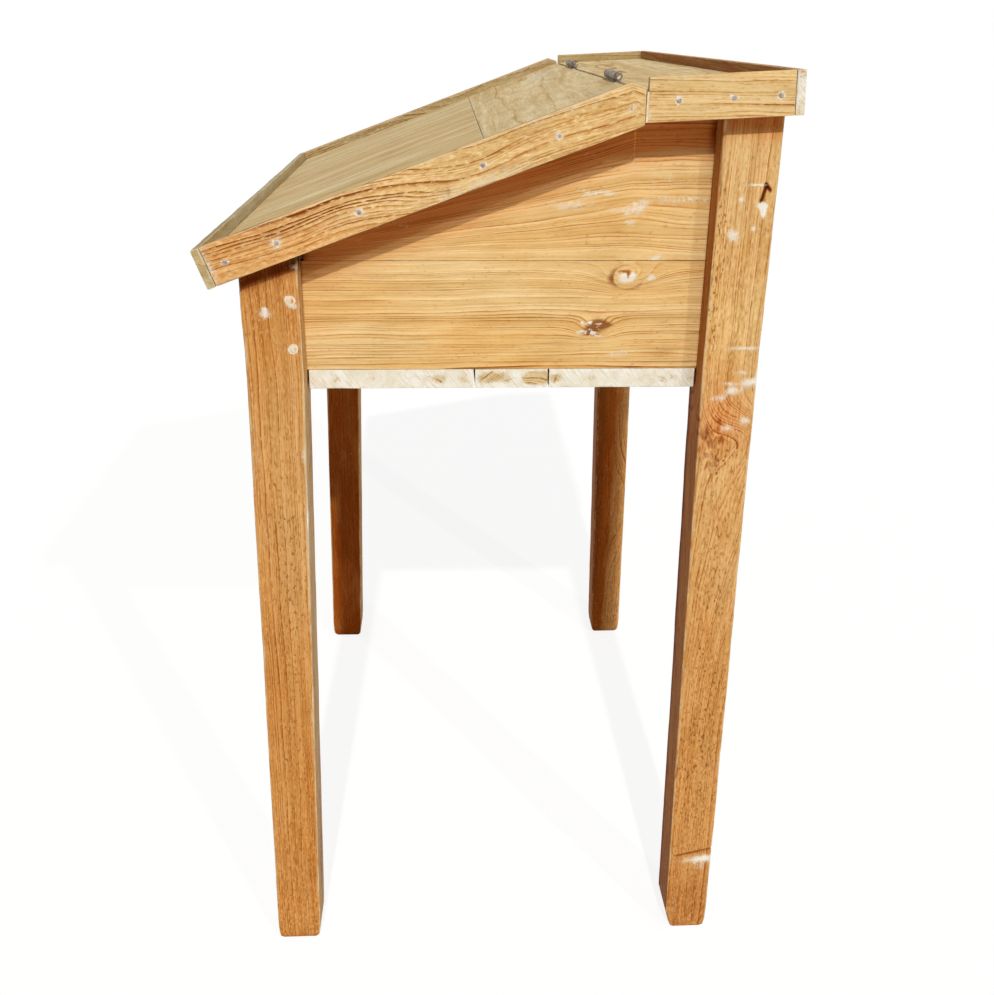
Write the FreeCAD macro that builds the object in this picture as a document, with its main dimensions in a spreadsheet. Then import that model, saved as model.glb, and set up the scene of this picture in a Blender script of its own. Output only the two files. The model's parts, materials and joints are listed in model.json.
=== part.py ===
import FreeCAD, Part
import os
import Sketcher
from FreeCAD import Placement, Rotation, Vector

# Slope-top school desk in pine: four legs, a panelled case with a boarded floor, a fixed shelf at the back
# and a lid that swings up about the line where the slope meets the shelf.
# X runs across the desk, the writer sits at -Y and Z is up. The origin is on the floor, midway between the
# sides, and midway between the lid's front edge and the back edging.

# Driving sizes in millimetres and degrees
SIZES = (
    ("desk_width", 750.0, "over the side edging"),
    ("desk_depth", 501.3, "lid's front edge to the lower edge of the back edging"),
    ("hinge_height", 901.0, "floor to the surface of the boards at the hinge line"),
    ("slope_angle", 20.2, "fall of the lid towards the writer"),
    ("shelf_tilt", 3.1, "rise of the shelf towards the back"),
    ("shelf_depth", 119.0, "hinge line to the back of the rear legs"),
    ("front_overhang", 34.0, "lid's front edge to the front of the front legs"),
    ("side_overhang", 20.0, "outer face of the edging to the outer face of the legs"),
    ("case_front", 117.5, "height of the side panels where they meet the front legs"),
    ("leg_wide", 50.0, "leg across the desk, above the taper"),
    ("leg_deep", 51.0, "leg from front to back, above the taper"),
    ("foot_wide", 46.5, "foot across the desk"),
    ("foot_deep", 46.5, "foot from front to back"),
    ("front_splay", 17.0, "front foot forward of its leg's head"),
    ("rear_splay", 8.0, "rear foot behind its leg's head"),
    ("foot_ease", 3.0, "worn bevel round the foot"),
    ("panel_thick", 20.0, "side panels, apron and back"),
    ("panel_setback", 24.0, "side panels behind the outer face of the legs"),
    ("rail_setback", 10.0, "apron and back behind the outer face of the legs"),
    ("panel_nose", 19.0, "height of the upper side board at its front end"),
    ("panel_shrink", 2.5, "slot left between the upper side board and the front leg"),
    ("back_lower", 115.0, "height of the lower back board"),
    ("tongue_thick", 10.0, "tongues on the panels' ends"),
    ("tongue_long", 16.0, "tongue's reach into the leg"),
    ("tongue_fit", 0.1, "clearance of a tongue in its groove"),
    ("floor_thick", 18.0, "floor boards"),
    ("floor_front", 150.0, "front floor board between the legs"),
    ("floor_middle", 67.0, "middle floor board"),
    ("floor_gap", 1.0, "gap between floor boards, and from them to the legs"),
    ("board_thick", 17.0, "lid and shelf boards"),
    ("head_board", 135.0, "lid's head board, measured down the slope"),
    ("edging_thick", 8.0, "edging boards"),
    ("edging_proud", 10.0, "edging above the boards"),
    ("edging_drop", 8.0, "edging below the boards"),
    ("edging_gap", 1.6, "gap between lid edging and shelf edging"),
    ("lid_rest", 0.2, "clearance between the closed lid and the case"),
    ("lid_swing", 70.0, "how far the lid opens"),
    ("swing_spare", 4.0, "spare angle of the eased edging at full swing"),
    ("batten_wide", 45.0, "lid battens"),
    ("batten_thick", 18.0, "lid battens"),
    ("batten_front", 285.0, "hinge line to the middle of the front batten"),
    ("batten_end", 12.0, "batten's end to the inner face of the side panel"),
    ("hinge_offset", 180.0, "middle of the desk to the middle of a hinge"),
    ("hinge_long", 70.0, "hinge along its pin"),
    ("leaf_thick", 1.5, "hinge leaf"),
    ("leaf_drop", 14.0, "leaf below the surface of the boards"),
    ("leaf_gap", 0.4, "gap between the closed leaves"),
    ("knuckle_radius", 4.0, "hinge knuckle"),
    ("knuckle_rise", 0.3, "knuckle's lowest line above the surface of the boards"),
    ("knuckle_gap", 0.3, "running gap at the knuckles' ends and below them"),
    ("pin_radius", 2.0, "hinge pin"),
    ("pin_play", 0.05, "clearance of the pin in its knuckles"),
    ("pin_head", 2.9, "radius of the pin's peened ends"),
    ("pin_head_thick", 1.2, "length of the pin's peened ends"),
    ("screw_pitch", 24.0, "distance between leaf screws"),
    ("screw_drop", 8.5, "leaf screws below the surface of the boards"),
    ("screw_radius", 1.5, "screw shank"),
    ("screw_head", 2.8, "radius of the countersunk head"),
    ("screw_long", 12.0, "screw shank beyond the leaf"),
    ("peg_radius", 3.5, "pegs in the legs"),
    ("peg_long", 40.0, "pegs in the legs"),
    ("peg_proud", 0.6, "peg's end beyond the leg's face"),
    ("peg_low", 26.0, "lower pegs above the panels' lower edge"),
    ("peg_pitch", 43.0, "second front peg above the first"),
    ("peg_top", 100.0, "upper rear peg below the shelf"),
    ("nail_radius", 1.6, "nail shank"),
    ("nail_head", 3.0, "radius of a nail's head"),
    ("nail_head_thick", 1.2, "nail's head"),
    ("nail_long", 32.0, "nails of the edging, the shelf and the floor"),
    ("nail_level", 9.0, "edging nails below the surface of the boards"),
    ("nail_margin", 16.0, "last nail to the end of its board"),
    ("batten_nail", 30.0, "nails driven up through the battens"),
)

# Edging nails were driven by eye, so their places are uneven shares of the edging's length
LID_NAIL_SHARES = (0.04, 0.20, 0.37, 0.65, 0.84, 0.96)
SHELF_NAIL_SHARES = (0.21, 0.58, 0.90)
CROSS_NAIL_COUNT = 5
SHELF_NAIL_COUNT = 4
FLOOR_NAIL_SHARES = (0.2, 0.8)
BATTEN_NAIL_COUNT = 9
LID_BOARD_COUNT = 3
KNUCKLE_COUNT = 3
OVERSHOOT = "1"

doc = FreeCAD.newDocument("school_desk")
sheet = doc.addObject("Spreadsheet::Sheet", "Sizes")
for row, (alias, size, meaning) in enumerate(SIZES, start=1):
    sheet.set(f"A{row}", meaning)
    sheet.set(f"B{row}", str(size))
    sheet.setAlias(f"B{row}", alias)
doc.recompute()

# Places worked out from the sizes, as expressions
HALF_WIDTH = "(Sizes.desk_width / 2)"
HALF_DEPTH = "(Sizes.desk_depth / 2)"
EDGING_IN = f"({HALF_WIDTH} - Sizes.edging_thick)"
LEG_OUT = f"({HALF_WIDTH} - Sizes.side_overhang)"
LEG_IN = f"({LEG_OUT} - Sizes.leg_wide)"
FOOT_IN = f"({LEG_OUT} - Sizes.foot_wide)"
PANEL_OUT = f"({LEG_OUT} - Sizes.panel_setback)"
PANEL_IN = f"({PANEL_OUT} - Sizes.panel_thick)"
PANEL_MIDDLE = f"(({PANEL_OUT} + {PANEL_IN}) / 2)"
FRONT_OUT = f"(Sizes.front_overhang - {HALF_DEPTH})"
FRONT_IN = f"({FRONT_OUT} + Sizes.leg_deep)"
BACK_EDGE = "(Sizes.edging_thick * cos(Sizes.shelf_tilt))"
BACK_LEAN = "((Sizes.board_thick + Sizes.edging_drop) * sin(Sizes.shelf_tilt))"
REAR_OUT = f"({HALF_DEPTH} - {BACK_EDGE} - {BACK_LEAN})"
REAR_IN = f"({REAR_OUT} - Sizes.leg_deep)"
APRON_OUT = f"({FRONT_OUT} + Sizes.rail_setback)"
APRON_IN = f"({APRON_OUT} + Sizes.panel_thick)"
BACK_OUT = f"({REAR_OUT} - Sizes.rail_setback)"
BACK_IN = f"({BACK_OUT} - Sizes.panel_thick)"
HINGE_Y = f"({REAR_OUT} - Sizes.shelf_depth)"
AXIS_RISE = "(Sizes.knuckle_radius + Sizes.knuckle_rise)"
LEAF_SEAT = "(Sizes.leaf_gap / 2 + Sizes.leaf_thick)"
EDGING_LOW = "(-Sizes.board_thick - Sizes.edging_drop)"
SHELF_RUN = "(Sizes.shelf_depth / cos(Sizes.shelf_tilt))"
LID_REACH = f"({HINGE_Y} + {HALF_DEPTH} - Sizes.edging_proud * sin(Sizes.slope_angle))"
LID_RUN = f"({LID_REACH} / cos(Sizes.slope_angle) - Sizes.edging_thick)"
HALF_TONGUE = "(Sizes.tongue_thick / 2)"
HALF_GROOVE = f"({HALF_TONGUE} + Sizes.tongue_fit)"
GROOVE_LONG = "(Sizes.tongue_long + Sizes.tongue_fit)"


def under_lid(y):
    """Height of the case's upper edge at depth y, just below the closed lid."""
    fall = f"({y} - {HINGE_Y}) * tan(Sizes.slope_angle)"
    return f"(Sizes.hinge_height + {fall} - (Sizes.board_thick + Sizes.lid_rest) / cos(Sizes.slope_angle))"


def under_shelf(y):
    """Height of the shelf's underside at depth y."""
    rise = f"({y} - {HINGE_Y}) * tan(Sizes.shelf_tilt)"
    return f"(Sizes.hinge_height + {rise} - Sizes.board_thick / cos(Sizes.shelf_tilt))"


CASE_BASE = f"({under_lid(FRONT_IN)} - Sizes.case_front)"
PANEL_SEAM = f"({under_lid(FRONT_IN)} - Sizes.panel_nose)"
BACK_SEAM = f"({CASE_BASE} + Sizes.back_lower)"
FLOOR_LOW = f"({CASE_BASE} - Sizes.floor_thick)"

nodes = {}


def value(expression):
    """The number that an expression has with the present sizes."""
    return float(sheet.evalExpression(expression))


def mirrored(sign, inner, outer):
    """The span from inner to outer on the right-hand side, or its mirror image on the left."""
    if sign > 0:
        return inner, outer
    return f"(-{outer})", f"(-{inner})"


def new_body(label):
    """A PartDesign body that becomes the node of that name."""
    body = doc.addObject("PartDesign::Body", label)
    body.Label = label
    nodes[label] = body
    return body


def lay_on_lid(body):
    """Turns a body drawn level, with its hinge line on X, to the slope of the closed lid."""
    turn_about_hinge(body, "Sizes.slope_angle")


def lay_on_shelf(body):
    """Turns a body drawn level, with its hinge line on X, to the shelf's slight rise."""
    turn_about_hinge(body, "Sizes.shelf_tilt")


def turn_about_hinge(body, angle):
    body.Placement = Placement(Vector(), Rotation(Vector(1, 0, 0), value(angle)))
    body.setExpression("Placement.Rotation.Angle", angle)
    body.setExpression("Placement.Base.y", HINGE_Y)
    body.setExpression("Placement.Base.z", "Sizes.hinge_height")


def new_sketch(body, role, offset):
    """A sketch on one of the body's own origin planes, moved along that plane's normal."""
    plane = next(feature for feature in body.Origin.OriginFeatures if feature.Role == role)
    sketch = body.newObject("Sketcher::SketchObject", f"{body.Name}_sketch")
    sketch.AttachmentSupport = (plane, [""])
    sketch.MapMode = "FlatFace"
    sketch.setExpression("AttachmentOffset.Base.z", offset)
    return sketch


def hold(sketch, kind, first, second, expression):
    """Holds a point of the sketch at a distance from the sketch's origin."""
    index = sketch.addConstraint(Sketcher.Constraint(kind, -1, 1, first, second, value(expression)))
    sketch.setExpression(f"Constraints[{index}]", expression)


def add_polygon(sketch, corners):
    """A closed outline through corners, each given as two expressions."""
    start = sketch.GeometryCount
    count = len(corners)
    points = [Vector(value(across), value(up), 0) for across, up in corners]
    for i in range(count):
        sketch.addGeometry(Part.LineSegment(points[i], points[(i + 1) % count]))
    for i in range(count):
        ahead = start + (i + 1) % count
        sketch.addConstraint(Sketcher.Constraint("Coincident", start + i, 2, ahead, 1))
    for i, (across, up) in enumerate(corners):
        hold(sketch, "DistanceX", start + i, 1, across)
        hold(sketch, "DistanceY", start + i, 1, up)


def add_circle(sketch, across, up, radius):
    """A circle whose centre and radius are expressions."""
    circle = sketch.addGeometry(Part.Circle(Vector(value(across), value(up), 0), Vector(0, 0, 1), value(radius)))
    index = sketch.addConstraint(Sketcher.Constraint("Radius", circle, value(radius)))
    sketch.setExpression(f"Constraints[{index}]", radius)
    hold(sketch, "DistanceX", circle, 3, across)
    hold(sketch, "DistanceY", circle, 3, up)


def rectangle(left, right, low, high):
    """Corners of an upright rectangle."""
    return [(left, low), (right, low), (right, high), (left, high)]


def add_pad(body, sketch, length, reversed_side=False):
    pad = body.newObject("PartDesign::Pad", f"{body.Name}_pad")
    pad.Profile = sketch
    pad.setExpression("Length", length)
    pad.Reversed = reversed_side
    return pad


def add_slab(body, span, outline):
    """A board's length across the desk: an outline in depth and height, carried along X over the span."""
    sketch = new_sketch(body, "YZ_Plane", span[0])
    add_polygon(sketch, outline)
    return add_pad(body, sketch, f"{span[1]} - {span[0]}")


def add_plank(body, low, high, outline):
    """A board lying flat: an outline in plan, raised from low to high."""
    sketch = new_sketch(body, "XY_Plane", low)
    add_polygon(sketch, outline)
    return add_pad(body, sketch, f"{high} - {low}")


def pins_along(body, role, offset, centres, pins, reversed_side):
    """Rows of round pins: each centre gets every (radius, length) in pins, driven from the offset plane."""
    body.AllowCompound = True
    for radius, length in pins:
        sketch = new_sketch(body, role, offset)
        for across, up in centres:
            add_circle(sketch, across, up, radius)
        add_pad(body, sketch, length, reversed_side)


def nail(length):
    """Shank and head of a nail, as (radius, length) pairs."""
    return [("Sizes.nail_radius", length), ("Sizes.nail_head", "Sizes.nail_head_thick")]


def between(first, last, count):
    """Evenly spaced expressions from first to last."""
    return [f"({first} + ({last} - {first}) * {i} / {count - 1})" for i in range(count)]


def spread(length, shares):
    """Places along a length, at the given shares of it."""
    return [f"({length} * {share})" for share in shares]


# Pegs come first, because the legs and panels are bored for them
def make_pegs():
    pegs = new_body("leg_pegs")
    front_y = f"({FRONT_IN} - Sizes.tongue_long / 2)"
    rear_y = f"({REAR_IN} + Sizes.tongue_long / 2)"
    low = f"({CASE_BASE} + Sizes.peg_low)"
    centres = [
        (front_y, low),
        (front_y, f"({low} + Sizes.peg_pitch)"),
        (rear_y, low),
        (rear_y, f"({under_shelf(REAR_IN)} - Sizes.peg_top)"),
    ]
    peg = [("Sizes.peg_radius", "Sizes.peg_long")]
    end = f"({LEG_OUT} + Sizes.peg_proud)"
    pins_along(pegs, "YZ_Plane", end, centres, peg, True)
    pins_along(pegs, "YZ_Plane", f"(-{end})", centres, peg, False)
    return pegs


def bore_for(pegs, label, body):
    """Cuts the peg holes through a body, which then stands for the node."""
    body.Label = f"{label}_blank"
    cut = doc.addObject("Part::Cut", f"{label}_bored")
    cut.Base = body
    cut.Tool = pegs
    cut.Label = label
    nodes[label] = cut


def make_leg(label, sign, depth_span, foot_span, head_heights, groove_spans, pegs):
    """A leg: ruled taper from foot to case, straight head with a sloping top, two grooves, a worn foot."""
    body = new_body(label)
    knee_x = mirrored(sign, LEG_IN, LEG_OUT)
    foot_x = mirrored(sign, FOOT_IN, LEG_OUT)
    ease = "Sizes.foot_ease"
    sole = [f"({place} {step} {ease})" for span in (foot_x, foot_span) for place, step in zip(span, "+-")]
    sections = []
    for height, corners in (
        ("0", rectangle(*sole)),
        (ease, rectangle(*foot_x, *foot_span)),
        (CASE_BASE, rectangle(*knee_x, *depth_span)),
    ):
        section = new_sketch(body, "XY_Plane", height)
        add_polygon(section, corners)
        sections.append(section)
    taper = body.newObject("PartDesign::AdditiveLoft", f"{label}_taper")
    taper.Profile = sections[0]
    taper.Sections = sections[1:]
    taper.Ruled = True
    front, rear = depth_span
    head = [(front, CASE_BASE), (rear, CASE_BASE), (rear, head_heights[1]), (front, head_heights[0])]
    add_slab(body, knee_x, head)
    grooves = new_sketch(body, "XY_Plane", CASE_BASE)
    for x_span, y_span in groove_spans:
        add_polygon(grooves, rectangle(*mirrored(sign, *x_span), *y_span))
    slots = body.newObject("PartDesign::Pocket", f"{label}_grooves")
    slots.Profile = grooves
    slots.Type = "ThroughAll"
    slots.Reversed = True
    bore_for(pegs, label, body)


def make_legs(pegs):
    side_x = (f"({PANEL_MIDDLE} - {HALF_GROOVE})", f"({PANEL_MIDDLE} + {HALF_GROOVE})")
    rail_x = (f"({LEG_IN} - {OVERSHOOT})", f"({LEG_IN} + {GROOVE_LONG})")
    apron_y = f"(({APRON_OUT} + {APRON_IN}) / 2)"
    back_y = f"(({BACK_OUT} + {BACK_IN}) / 2)"
    for side, sign in (("left", -1), ("right", 1)):
        make_leg(
            f"leg_front_{side}",
            sign,
            (FRONT_OUT, FRONT_IN),
            (f"({FRONT_OUT} - Sizes.front_splay)", f"({FRONT_OUT} - Sizes.front_splay + Sizes.foot_deep)"),
            (under_lid(FRONT_OUT), under_lid(FRONT_IN)),
            [
                (side_x, (f"({FRONT_IN} - {GROOVE_LONG})", f"({FRONT_IN} + {OVERSHOOT})")),
                (rail_x, (f"({apron_y} - {HALF_GROOVE})", f"({apron_y} + {HALF_GROOVE})")),
            ],
            pegs,
        )
        make_leg(
            f"leg_rear_{side}",
            sign,
            (REAR_IN, REAR_OUT),
            (f"({REAR_OUT} + Sizes.rear_splay - Sizes.foot_deep)", f"({REAR_OUT} + Sizes.rear_splay)"),
            (under_shelf(REAR_IN), under_shelf(REAR_OUT)),
            [
                (side_x, (f"({REAR_IN} - {OVERSHOOT})", f"({REAR_IN} + {GROOVE_LONG})")),
                (rail_x, (f"({back_y} - {HALF_GROOVE})", f"({back_y} + {HALF_GROOVE})")),
            ],
            pegs,
        )


def make_side_panels(pegs):
    tongue_x = (f"({PANEL_MIDDLE} - {HALF_TONGUE})", f"({PANEL_MIDDLE} + {HALF_TONGUE})")
    front_tongue = f"({FRONT_IN} - Sizes.tongue_long)"
    rear_tongue = f"({REAR_IN} + Sizes.tongue_long)"
    nose = f"({FRONT_IN} + Sizes.panel_shrink)"
    slope_top = [
        (nose, PANEL_SEAM),
        (REAR_IN, PANEL_SEAM),
        (REAR_IN, under_shelf(REAR_IN)),
        (HINGE_Y, under_shelf(HINGE_Y)),
        (HINGE_Y, under_lid(HINGE_Y)),
        (nose, under_lid(nose)),
    ]
    upper_tongue = [
        (HINGE_Y, PANEL_SEAM),
        (rear_tongue, PANEL_SEAM),
        (rear_tongue, under_shelf(rear_tongue)),
        (HINGE_Y, under_shelf(HINGE_Y)),
    ]
    for side, sign in (("left", -1), ("right", 1)):
        lower = new_body(f"side_panel_lower_{side}")
        add_slab(lower, mirrored(sign, PANEL_IN, PANEL_OUT), rectangle(FRONT_IN, REAR_IN, CASE_BASE, PANEL_SEAM))
        add_slab(lower, mirrored(sign, *tongue_x), rectangle(front_tongue, rear_tongue, CASE_BASE, PANEL_SEAM))
        bore_for(pegs, f"side_panel_lower_{side}", lower)
        upper = new_body(f"side_panel_upper_{side}")
        add_slab(upper, mirrored(sign, PANEL_IN, PANEL_OUT), slope_top)
        add_slab(upper, mirrored(sign, *tongue_x), upper_tongue)
        bore_for(pegs, f"side_panel_upper_{side}", upper)


def make_cross_panel(label, depth_span, low, top):
    """A board between two legs, with a tongue at each end; top gives its upper edge at a depth."""
    body = new_body(label)
    front, rear = depth_span
    middle = f"(({front} + {rear}) / 2)"
    reach = f"({LEG_IN} + Sizes.tongue_long)"
    tongue = (f"({middle} - {HALF_TONGUE})", f"({middle} + {HALF_TONGUE})")
    for half_length, (near, far) in ((LEG_IN, depth_span), (reach, tongue)):
        outline = [(near, low), (far, low), (far, top(far)), (near, top(near))]
        add_slab(body, mirrored_span(half_length), outline)


def mirrored_span(half_length):
    """A span centred on the desk's middle."""
    return f"(-{half_length})", half_length


def make_cross_panels():
    make_cross_panel("front_apron", (APRON_OUT, APRON_IN), CASE_BASE, under_lid)
    make_cross_panel("back_panel_lower", (BACK_IN, BACK_OUT), CASE_BASE, lambda y: BACK_SEAM)
    make_cross_panel("back_panel_upper", (BACK_IN, BACK_OUT), BACK_SEAM, under_shelf)


def make_floor():
    """Three floor boards; the outer two run on between the legs to the apron's and the back's outer faces."""
    notch = f"({LEG_IN} - Sizes.floor_gap)"
    front = f"({FRONT_IN} + Sizes.floor_gap)"
    rear = f"({REAR_IN} - Sizes.floor_gap)"
    first_seam = f"({front} + Sizes.floor_front)"
    middle_front = f"({first_seam} + Sizes.floor_gap)"
    middle_rear = f"({middle_front} + Sizes.floor_middle)"
    last_seam = f"({middle_rear} + Sizes.floor_gap)"
    for label, outer, shoulder, seam in (
        ("floor_board_front", APRON_OUT, front, first_seam),
        ("floor_board_rear", BACK_OUT, rear, last_seam),
    ):
        outline = [
            (f"(-{notch})", outer),
            (notch, outer),
            (notch, shoulder),
            (PANEL_OUT, shoulder),
            (PANEL_OUT, seam),
            (f"(-{PANEL_OUT})", seam),
            (f"(-{PANEL_OUT})", shoulder),
            (f"(-{notch})", shoulder),
        ]
        add_plank(new_body(label), FLOOR_LOW, CASE_BASE, outline)
    middle = rectangle(*mirrored_span(PANEL_OUT), middle_front, middle_rear)
    add_plank(new_body("floor_board_middle"), FLOOR_LOW, CASE_BASE, middle)
    nails = new_body("floor_nails")
    rows = []
    for near, far in ((front, first_seam), (middle_front, middle_rear), (last_seam, rear)):
        rows += [f"({near} + {place})" for place in spread(f"({far} - {near})", FLOOR_NAIL_SHARES)]
    centres = [(f"({sign} * {PANEL_MIDDLE})", y) for sign in (-1, 1) for y in rows]
    pins_along(nails, "XY_Plane", FLOOR_LOW, centres, nail("Sizes.nail_long"), False)


def shelf_front(height, gap):
    """Depth of an upright face at the shelf's front, at a height over the shelf and in the shelf's own axes."""
    return f"({height} * tan(Sizes.shelf_tilt) + {gap} / cos(Sizes.shelf_tilt))"


def make_shelf():
    board = new_body("shelf_board")
    bottom = "(-Sizes.board_thick)"
    outline = [
        (shelf_front("0", LEAF_SEAT), "0"),
        (shelf_front(bottom, LEAF_SEAT), bottom),
        (SHELF_RUN, bottom),
        (SHELF_RUN, "0"),
    ]
    add_slab(board, mirrored_span(EDGING_IN), outline)
    half_gap = "(Sizes.edging_gap / 2)"
    top = "Sizes.edging_proud"
    edging = [
        (shelf_front(top, half_gap), top),
        (shelf_front(EDGING_LOW, half_gap), EDGING_LOW),
        (SHELF_RUN, EDGING_LOW),
        (SHELF_RUN, top),
    ]
    bodies = [board]
    for side, sign in (("left", -1), ("right", 1)):
        strip = new_body(f"shelf_edging_{side}")
        add_slab(strip, mirrored(sign, EDGING_IN, HALF_WIDTH), edging)
        bodies.append(strip)
    back = new_body("back_edging")
    back_face = f"({SHELF_RUN} + Sizes.edging_thick)"
    add_slab(back, mirrored_span(HALF_WIDTH), rectangle(SHELF_RUN, back_face, EDGING_LOW, top))
    nails = new_body("shelf_edging_nails")
    level = "(-Sizes.nail_level)"
    side_centres = [(y, level) for y in spread(SHELF_RUN, SHELF_NAIL_SHARES)]
    drive_edging_nails(nails, side_centres, f"(-{back_face})", False)
    down = new_body("shelf_nails")
    rear_row = f"({BACK_IN} / 2 + {BACK_OUT} / 2 - {HINGE_Y})"
    centres = [(x, rear_row) for x in between(f"(-{LEG_IN} / 2)", f"({LEG_IN} / 2)", SHELF_NAIL_COUNT)]
    pins_along(down, "XY_Plane", "0", centres, nail("Sizes.nail_long"), True)
    for body in bodies + [back, nails, down]:
        lay_on_shelf(body)


def drive_edging_nails(body, side_centres, end_offset, end_reversed):
    """Nails through both side edgings and through the edging across the end."""
    level = "(-Sizes.nail_level)"
    pins_along(body, "YZ_Plane", HALF_WIDTH, side_centres, nail("Sizes.nail_long"), True)
    pins_along(body, "YZ_Plane", f"(-{HALF_WIDTH})", side_centres, nail("Sizes.nail_long"), False)
    last = f"({EDGING_IN} - Sizes.nail_margin * 2)"
    end_centres = [(x, level) for x in between(f"(-{last})", last, CROSS_NAIL_COUNT)]
    pins_along(body, "XZ_Plane", end_offset, end_centres, nail("Sizes.nail_long"), end_reversed)


def lid_end(height, gap):
    """Place of an upright face at the lid's hinge end, at a height over the boards, in the lid's own axes."""
    return f"({height} * tan(Sizes.slope_angle) - {gap} / cos(Sizes.slope_angle))"


def make_lid():
    bottom = "(-Sizes.board_thick)"
    bodies = []
    head = new_body("lid_head_board")
    outline = [
        (lid_end("0", LEAF_SEAT), "0"),
        ("(-Sizes.head_board)", "0"),
        ("(-Sizes.head_board)", bottom),
        (lid_end(bottom, LEAF_SEAT), bottom),
    ]
    add_slab(head, mirrored_span(EDGING_IN), outline)
    bodies.append(head)
    seams = between(f"(-{EDGING_IN})", EDGING_IN, LID_BOARD_COUNT + 1)
    for i, side in enumerate(("left", "middle", "right")):
        board = new_body(f"lid_board_{side}")
        add_slab(board, (seams[i], seams[i + 1]), rectangle(f"(-{LID_RUN})", "(-Sizes.head_board)", bottom, "0"))
        bodies.append(board)
    bodies += make_lid_edging()
    bodies += make_battens()
    for body in bodies:
        lay_on_lid(body)


def make_lid_edging():
    """Side edging eased at its hinge end so that it clears the shelf's edging, and front edging over the ends."""
    half_gap = "(Sizes.edging_gap / 2)"
    top = "Sizes.edging_proud"
    slope = "Sizes.slope_angle"
    ease_start = f"({AXIS_RISE} - Sizes.pin_radius)"
    ease_angle = f"(90 + {slope} - Sizes.lid_swing - Sizes.swing_spare)"
    ease_y = f"({ease_start} * sin({slope}) - {half_gap} * cos({slope}))"
    ease_z = f"({ease_start} * cos({slope}) + {half_gap} * sin({slope}))"
    outline = [
        (f"(-{LID_RUN})", top),
        (f"(-{LID_RUN})", EDGING_LOW),
        (lid_end(EDGING_LOW, half_gap), EDGING_LOW),
        (ease_y, ease_z),
        (f"({ease_y} - ({top} - {ease_z}) / tan({ease_angle}))", top),
    ]
    bodies = []
    for side, sign in (("left", -1), ("right", 1)):
        strip = new_body(f"lid_edging_{side}")
        add_slab(strip, mirrored(sign, EDGING_IN, HALF_WIDTH), outline)
        bodies.append(strip)
    front = new_body("lid_edging_front")
    face = f"({LID_RUN} + Sizes.edging_thick)"
    add_slab(front, mirrored_span(HALF_WIDTH), rectangle(f"(-{face})", f"(-{LID_RUN})", EDGING_LOW, top))
    nails = new_body("lid_edging_nails")
    side_centres = [(f"(-{y})", "(-Sizes.nail_level)") for y in spread(LID_RUN, LID_NAIL_SHARES)]
    drive_edging_nails(nails, side_centres, face, True)
    return bodies + [front, nails]


def make_battens():
    bodies = []
    half_wide = "(Sizes.batten_wide / 2)"
    underside = "(-Sizes.board_thick - Sizes.batten_thick)"
    half_long = f"({PANEL_IN} - Sizes.batten_end)"
    nails = new_body("batten_nails")
    centres = []
    last = f"({half_long} - Sizes.nail_margin)"
    for place, middle in (("front", "Sizes.batten_front"), ("rear", "Sizes.head_board")):
        batten = new_body(f"lid_batten_{place}")
        span = (f"(-{middle} - {half_wide})", f"(-{middle} + {half_wide})")
        add_slab(batten, mirrored_span(half_long), rectangle(*span, underside, "(-Sizes.board_thick)"))
        bodies.append(batten)
        row = between(f"(-{last})", last, BATTEN_NAIL_COUNT)
        stagger = [f"(-{middle} + {half_wide} / 2 * {(-1) ** i})" for i in range(BATTEN_NAIL_COUNT)]
        centres += list(zip(row, stagger))
    pins_along(nails, "XY_Plane", underside, centres, nail("Sizes.batten_nail"), False)
    return bodies + [nails]


def place_on_hinge(thing, x):
    """Puts an object drawn round a hinge's own pin on the desk's hinge line."""
    thing.setExpression("Placement.Base.x", x)
    thing.setExpression("Placement.Base.y", HINGE_Y)
    thing.setExpression("Placement.Base.z", f"Sizes.hinge_height + {AXIS_RISE}")


def make_leaf(label, x, sign, knuckles, screws):
    """Half a butt hinge: an upright leaf on the board's edge, with rolled knuckles round the pin."""
    body = new_body(f"{label}_blank")
    half_long = "(Sizes.hinge_long / 2)"
    bore = "(Sizes.pin_radius + Sizes.pin_play)"
    shoulder = "(-Sizes.knuckle_radius - Sizes.knuckle_gap)"
    foot = f"(-{AXIS_RISE} - Sizes.leaf_drop)"
    leaf_y = mirrored(sign, "(Sizes.leaf_gap / 2)", LEAF_SEAT)
    add_slab(body, mirrored_span(half_long), rectangle(*leaf_y, foot, shoulder))
    segment = f"((Sizes.hinge_long - Sizes.knuckle_gap * {KNUCKLE_COUNT - 1}) / {KNUCKLE_COUNT})"
    for knuckle in knuckles:
        near = f"(({segment} + Sizes.knuckle_gap) * {knuckle} - {half_long})"
        far = f"({near} + {segment})"
        neck = rectangle(*leaf_y, f"({shoulder} - {OVERSHOOT})", f"(-{bore} - Sizes.knuckle_gap)")
        add_slab(body, (near, far), neck)
        barrel = new_sketch(body, "YZ_Plane", near)
        add_circle(barrel, "0", "0", "Sizes.knuckle_radius")
        add_circle(barrel, "0", "0", bore)
        add_pad(body, barrel, segment)
    place_on_hinge(body, x)
    del nodes[body.Label]
    cut = doc.addObject("Part::Cut", f"{label}_drilled")
    cut.Base = body
    cut.Tool = screws
    cut.Label = label
    nodes[label] = cut


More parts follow.
